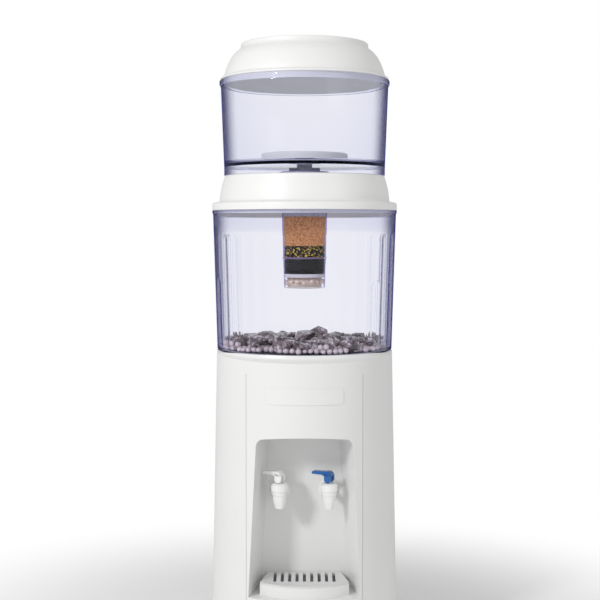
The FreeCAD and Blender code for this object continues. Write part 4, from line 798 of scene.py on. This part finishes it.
def tube_radius(height):
    return between(TUBE_NARROW, TUBE_WIDE, (height - TUBE_END) / (TUBE_TOP - TUBE_END))


def build_tube():
    """The clear tube, drawn as one body round its layers, with a lip at the divider."""
    section = [(0, TUBE_END), *arc((TUBE_NARROW - 2, TUBE_END + 2), 2, -90, 0, 5)]
    lip = high("layer_divider").z
    for shift, swell in ((-2.2, 0.0), (-1.6, 0.7), (0.4, 0.7), (1.0, 0.0)):
        section.append((tube_radius(lip + shift) + swell, lip + shift))
    section += [(TUBE_WIDE, TUBE_TOP), (0, TUBE_TOP)]
    mesh = rings_mesh("cartridge_tube", section, 96, closed=False)
    sharpen(new_piece("cartridge_tube", mesh, "upper_vessel", "cartridge_clear", "cartridge_sleeve"))


def build_core(node, slot_name, inset):
    """The plain middle of a layer, inside its skin of grains."""
    base, top = low(node).z + 0.1, high(node).z - 0.1
    section = [
        (0, base), (tube_radius(low(node).z) - inset, base), (tube_radius(high(node).z) - inset, top),
        (0, top),
    ]
    mesh = rings_mesh(node + "_core", section, 64, closed=False)
    new_piece(node + "_core", mesh, "upper_vessel", slot_name)


def grain_places(node, grain, inset):
    """Where the grains of a layer sit, how they lie and how they are stretched."""
    base, top = low(node).z, high(node).z
    places = []
    rows = max(1, int((top - base) / (grain * 1.5)))
    for row in range(rows):
        height = between(base, top, (row + 0.5) / rows)
        reach = tube_radius(height) - inset - grain * 0.55
        count = int(TURN * reach / (grain * 1.75))
        for step in range(count):
            angle = TURN * (step + 0.5 * (row % 2)) / count + random.uniform(-0.02, 0.02)
            wander = reach - random.uniform(0, grain * 0.5)
            spot = at(*around(wander, angle), height + random.uniform(-0.3, 0.3) * grain)
            stretch = Matrix.Diagonal([random.uniform(0.75, 1.1) for _ in range(3)] + [1])
            places.append(spot @ random_turn() @ stretch)
    return places


BEAD_SIZE = 5.0


def build_layer(node, slot_name, grain, inset=2.2, hollow=0.9):
    """A core and a skin of loose grains that fill one layer of the cartridge; large grains are round."""
    build_core(node, slot_name, inset + grain * hollow)
    places = grain_places(node, grain, inset)
    beads = grain > BEAD_SIZE
    if beads:
        template = ball_template(grain * 0.5, 16, 10)
    else:
        template = bmesh.new()
        bmesh.ops.create_icosphere(template, subdivisions=1, radius=grain * 0.56 * MM)
        template.verts.index_update()
    mesh = join_copies(node + "_grains", template, places)
    template.free()
    new_piece(node + "_grains", mesh, "upper_vessel", slot_name, node, smooth=beads)


build_tube()
build_layer("orange_layer", "orange_media", 2.3)
build_layer("speckled_layer", "speckled_media", 2.4)
build_layer("carbon_layer", "carbon", 2.0)
build_layer("ceramic_beads", "bead_ceramic", 6.8, inset=1.7, hollow=1.5)

# Ceramic disc with a rounded shoulder

DISC_RADIUS = 72.5


def build_disc():
    base, top = low("ceramic_disc").z, high("ceramic_disc").z
    section = [
        (0, base), (DISC_RADIUS - 0.6, base), (DISC_RADIUS, base + 0.6), (DISC_RADIUS, top - 3.2),
        *arc((DISC_RADIUS - 3, top - 3), 3, 0, 90, 6), (DISC_RADIUS - 22, top), (0, top),
    ]
    mesh = rings_mesh("ceramic_plate", section, 96, closed=False)
    sharpen(new_piece("ceramic_plate", mesh, "upper_vessel", "filter_ceramic", "ceramic_disc"))


build_disc()

# Crescent bevel in front of the filter, with the low lip round its foot

FOOT_RADIUS = 147.0
FRONT_CENTRE = 13.0
BEVEL_FALL = 9.0 / 13.0


def front_reach(angle):
    """Distance from the filter's axis to the housing's front at an angle from straight ahead."""
    across = FRONT_CENTRE * math.sin(angle)
    return FRONT_CENTRE * math.cos(angle) + math.sqrt(FOOT_RADIUS ** 2 - across ** 2)


LIP_STEPS = 120
LIP_HALF_ANGLE = math.radians(66)
LIP_HEIGHT = 2.8
SLOPE_PARTS = 8


def lip_section(angle):
    """The section of bevel and lip at an angle, as (radius, height)."""
    reach = front_reach(angle) - 0.1
    room = max(0.0, min(1.0, (reach - 151.5) / 5))
    lip = SEAT + 0.4 + LIP_HEIGHT * soft_share(room)
    crest = FOOT_RADIUS + 1.4 + 0.8 * room
    section = [
        (FOOT_RADIUS + 0.5, SEAT - 0.6), (FOOT_RADIUS + 0.5, lip - 0.5), (FOOT_RADIUS + 0.8, lip - 0.1),
        (crest, lip), (crest + 0.8, lip - 0.4),
    ]
    for part in range(1, SLOPE_PARTS + 1):
        radius = between(crest + 0.8, reach, part / SLOPE_PARTS)
        slope = SEAT + 0.3 - (radius - FOOT_RADIUS) * BEVEL_FALL
        section.append((radius, slope + (lip - 0.4 - slope) * max(0.0, 1 - part / 2) ** 2))
    section.append((reach, SEAT - 0.6 - (reach - FOOT_RADIUS) * BEVEL_FALL))
    return section


def build_bevel_lip():
    sections = []
    for step in range(LIP_STEPS + 1):
        angle = LIP_HALF_ANGLE * (2 * step / LIP_STEPS - 1)
        sections.append([(*around(radius, angle), height) for radius, height in lip_section(angle)])
    mesh = sweep_mesh("bevel_lip", sections)
    sharpen(new_piece("bevel_lip", mesh, "dispenser", "white_housing"), 40)


build_bevel_lip()

# Taps: spout with bore and arm, grip ring, wall flange and paddle lever

BONNET_TOP = 19.5
TAP_LEVEL = high("white_tap_bonnet").z - BONNET_TOP
TAP_Y = (low("white_tap_bonnet").y + high("white_tap_bonnet").y) / 2
FLANGE_Y = high("white_tap_flange").y - 4
SHANK_END = high("white_tap_body").y
TURNED = 64


def along_y(mesh, x, y, z):
    """Lays a mesh built round the upright axis along the front-to-back axis."""
    mesh.transform(at(x, y, z) @ Matrix.Rotation(-math.pi / 2, 4, "X"))
    return mesh


def merged(name, *meshes):
    solid = bmesh.new()
    for mesh in meshes:
        solid.from_mesh(mesh)
    return finished_mesh(name, solid)


def spout_facets(angle, radius, height, index):
    """Eight faint flats round the spout."""
    return radius - 0.45 * abs(math.cos(4 * angle)) if radius > 7 and height < 0 else radius


def grip_ribs(angle, radius, height, index):
    """Twenty ribs round the bonnet's widest part."""
    return radius - 0.4 * max(0.0, math.cos(20 * angle)) if radius > 13.9 else radius


def build_spout(colour, x):
    """Tap body: the spout with its bore, and the arm that reaches through the wall."""
    spout_section = [
        (5.2, -22), (6.6, -22), *arc((6.6, -21), 1.0, -90, 0, 4), (8.6, -17.6), (10.4, -11.6),
        (11.4, -7.4), (11.6, -0.4), *arc((11.6, 1.0), 1.0, -90, 0, 3), (12.6, 5.4), (8.4, 5.4),
        (8.4, -6), (4.0, -6), (4.0, -8), (5.2, -8),
    ]
    spout = rings_mesh(colour + "_spout", spout_section, TURNED, spout_facets)
    spout.transform(at(x, TAP_Y, TAP_LEVEL))
    reach = SHANK_END - TAP_Y
    wall = FLANGE_Y - TAP_Y
    arm_section = [
        (3.2, 9.6), (5.2, 9.6), (5.2, wall - 2), *arc((7.2, wall - 2), 2, 180, 90, 4), (7.9, wall),
        (7.9, reach), (3.2, reach),
    ]
    arm = along_y(rings_mesh(colour + "_arm", arm_section, 48), x, TAP_Y, TAP_LEVEL)
    body = merged(colour + "_tap_spout", spout, arm)
    sharpen(new_piece(colour + "_tap_spout", body, "dispenser", "tap_white", colour + "_tap_body"))


def build_grip(colour, x):
    """Ribbed bonnet over the tap's body."""
    section = [
        (3.3, BONNET_TOP), (10.4, BONNET_TOP), *arc((10.4, 18.7), 0.8, 90, 35, 3), (13.2, 17.2),
        *arc((12.9, 16.2), 1.2, 45, 0, 3), (14.1, 12.5), (14.1, 9.0), (13.9, 7.6),
        *arc((12.7, 6.7), 1.1, 10, -80, 4), (8.5, 5.5), (8.5, 16.5), (3.3, 16.5),
    ]
    mesh = rings_mesh(colour + "_grip", section, 160, grip_ribs)
    mesh.transform(at(x, TAP_Y, TAP_LEVEL))
    sharpen(new_piece(colour + "_tap_grip", mesh, "dispenser", "tap_white", colour + "_tap_bonnet"))


def build_rosette(colour, x):
    """Round flange against the wall."""
    section = [(8.1, 0), (12.5, 0), *arc((12.5, 3.8), 3.8, -90, -10, 6), (17.0, 3.4), (17.3, 4), (8.1, 4)]
    mesh = along_y(rings_mesh(colour + "_rosette", section, TURNED), x, FLANGE_Y, TAP_LEVEL)
    sharpen(new_piece(colour + "_tap_rosette", mesh, "dispenser", "tap_white", colour + "_tap_flange"))


COIL_LOW = 4.4
COIL_HIGH = 15.4
COIL_RADIUS = 5.8
COIL_WIRE = 0.75
COIL_TURNS = 4.5
COIL_STEPS = 180
WIRE_SIDES = 10


def build_spring(colour, x):
    """A wire coil over the stem, drawn at its pressed length so that the stem's collar never meets it."""
    sections = []
    for step in range(COIL_STEPS + 1):
        share = step / COIL_STEPS
        angle = TURN * COIL_TURNS * share
        height = between(COIL_LOW, COIL_HIGH, share)
        section = []
        for side in range(WIRE_SIDES):
            tilt = TURN * side / WIRE_SIDES
            reach = COIL_RADIUS + COIL_WIRE * math.cos(tilt)
            rise = height + COIL_WIRE * math.sin(tilt)
            section.append((reach * math.cos(angle), reach * math.sin(angle), rise))
        sections.append(section)
    mesh = sweep_mesh(colour + "_coil", sections)
    mesh.transform(at(x, TAP_Y, TAP_LEVEL))
    sharpen(new_piece(colour + "_coil", mesh, "dispenser", "spring_steel", colour + "_tap_spring"))


def add_slab(solid, outline, left, right, softness):
    """Adds a plate to a solid: an outline of (y, z) drawn out across x, with softened edges."""
    plate = bmesh.new()
    face = plate.faces.new([plate.verts.new((left * MM, y * MM, z * MM)) for y, z in outline])
    grown = bmesh.ops.extrude_face_region(plate, geom=[face])
    for item in grown["geom"]:
        if isinstance(item, bmesh.types.BMVert):
            item.co.x = right * MM
    bmesh.ops.recalc_face_normals(plate, faces=plate.faces)
    edges = [edge for edge in plate.edges if edge.calc_face_angle(0) > 0.5]
    bmesh.ops.bevel(
        plate, geom=edges, offset=softness * MM, segments=3, profile=0.5, affect="EDGES",
        clamp_overlap=True)
    add_solid(solid, plate)


CHEEK_INNER = 3.6
LEVER_HALF = 8.5
PADDLE_HALF = 6.0


def build_lever(colour, x):
    """Paddle lever: two rounded cheeks round the stem, a head over them and the paddle."""
    solid = bmesh.new()
    cheek = [*arc((0, 26), 5.9, 180, 360, 12), (5.9, 32.4), (4.7, 34.6), (-5.9, 38.0)]
    add_slab(solid, cheek, CHEEK_INNER, LEVER_HALF, 0.8)
    add_slab(solid, cheek, -LEVER_HALF, -CHEEK_INNER, 0.8)
    head = [(-6.4, 31), (5.9, 31), (5.9, 32.4), (4.9, 34.8), (1.6, 37.8), (-1.2, 38.8), (-6.4, 38.8)]
    add_slab(solid, head, -LEVER_HALF, LEVER_HALF, 0.9)
    paddle = [
        (-2.0, 38.5), (-27.6, 37.9), *arc((-26.6, 35.3), 2.0, 110, 250, 6), (-12.0, 32.9), (-6.0, 31.0),
        (-2, 31.0),
    ]
    add_slab(solid, paddle, -PADDLE_HALF, PADDLE_HALF, 1.1)
    mesh = finished_mesh(colour + "_paddle", solid)
    mesh.transform(at(x, TAP_Y, TAP_LEVEL) @ Matrix.Rotation(LEVER_TURN, 4, "Z"))
    piece = new_piece(colour + "_paddle", mesh, colour + "_handle", "lever_" + colour, colour + "_lever")
    sharpen(piece, 28)


for tap_colour, tap_x in (("white", -40.0), ("blue", 40.0)):
    build_spout(tap_colour, tap_x)
    build_grip(tap_colour, tap_x)
    build_rosette(tap_colour, tap_x)
    build_spring(tap_colour, tap_x)
    build_lever(tap_colour, tap_x)

# Floor, backdrop and light


WHITE_LIGHT = (1, 1, 1, 1)
FLOOR_SIZE = 9.0
FLOOR_LEVEL = 0.92
SKY_STRENGTH = 0.58


def stage_material(name, level):
    """Pale ground: shaded near the part, plain white to the eye further off."""
    material, tree, shader = new_material(name)
    set_inputs(shader, {"Base Color": (level, level, level, 1), "Roughness": 0.9})
    glow = add_node(tree, "Emission", {"Color": WHITE_LIGHT, "Strength": 1.0})
    where = add_node(tree, "TexCoord")
    length = add_node(tree, "VectorMath")
    length.operation = "LENGTH"
    link(tree, where.outputs["Object"], length.inputs[0])
    far = remap(tree, length.outputs["Value"], (0.3, 0.9), kind="SMOOTHSTEP")
    seen = either_ray(tree, "Is Camera Ray", "Is Transmission Ray")
    weight = maths(tree, "MULTIPLY", seen, far)
    ground = mixed_shader(tree, weight, shader.outputs["BSDF"], glow.outputs[0])
    link(tree, ground, tree.nodes["Material Output"].inputs["Surface"])
    return material


def build_floor():
    solid = bmesh.new()
    bmesh.ops.create_grid(solid, x_segments=1, y_segments=1, size=FLOOR_SIZE)
    mesh = finished_mesh("studio_floor", solid)
    floor = bpy.data.objects.new("studio_floor", mesh)
    scene.collection.objects.link(floor)
    mesh.materials.append(stage_material("studio_floor", FLOOR_LEVEL))


def area_light(name, place, target, size, power):
    """A rectangular lamp of a size (width, height) that looks at a target."""
    data = bpy.data.lights.new(name, "AREA")
    data.shape = "RECTANGLE"
    data.size, data.size_y = size
    data.energy = power
    lamp = bpy.data.objects.new(name, data)
    scene.collection.objects.link(lamp)
    lamp.location = place
    lamp.rotation_euler = (Vector(target) - Vector(place)).to_track_quat("-Z", "Y").to_euler()


def build_world():
    """White all round: soft light on the part, and plain white where it is seen directly."""
    world = bpy.data.worlds.new("studio")
    scene.world = world
    world.use_nodes = True
    tree = world.node_tree
    sky = tree.nodes["Background"]
    set_inputs(sky, {"Color": WHITE_LIGHT, "Strength": SKY_STRENGTH})
    shown = add_node(tree, "Background", {"Color": WHITE_LIGHT, "Strength": 1.0})
    seen = either_ray(tree, "Is Camera Ray", "Is Transmission Ray")
    backdrop = mixed_shader(tree, seen, sky.outputs[0], shown.outputs[0])
    link(tree, backdrop, tree.nodes["World Output"].inputs["Surface"])


build_floor()
area_light("key", (-1.75, -2.1, 1.75), (0, 0, 0.5), (0.4, 0.5), 36)
area_light("fill", (1.9, -2.0, 1.6), (0, 0, 0.6), (1.4, 1.4), 7)
build_world()
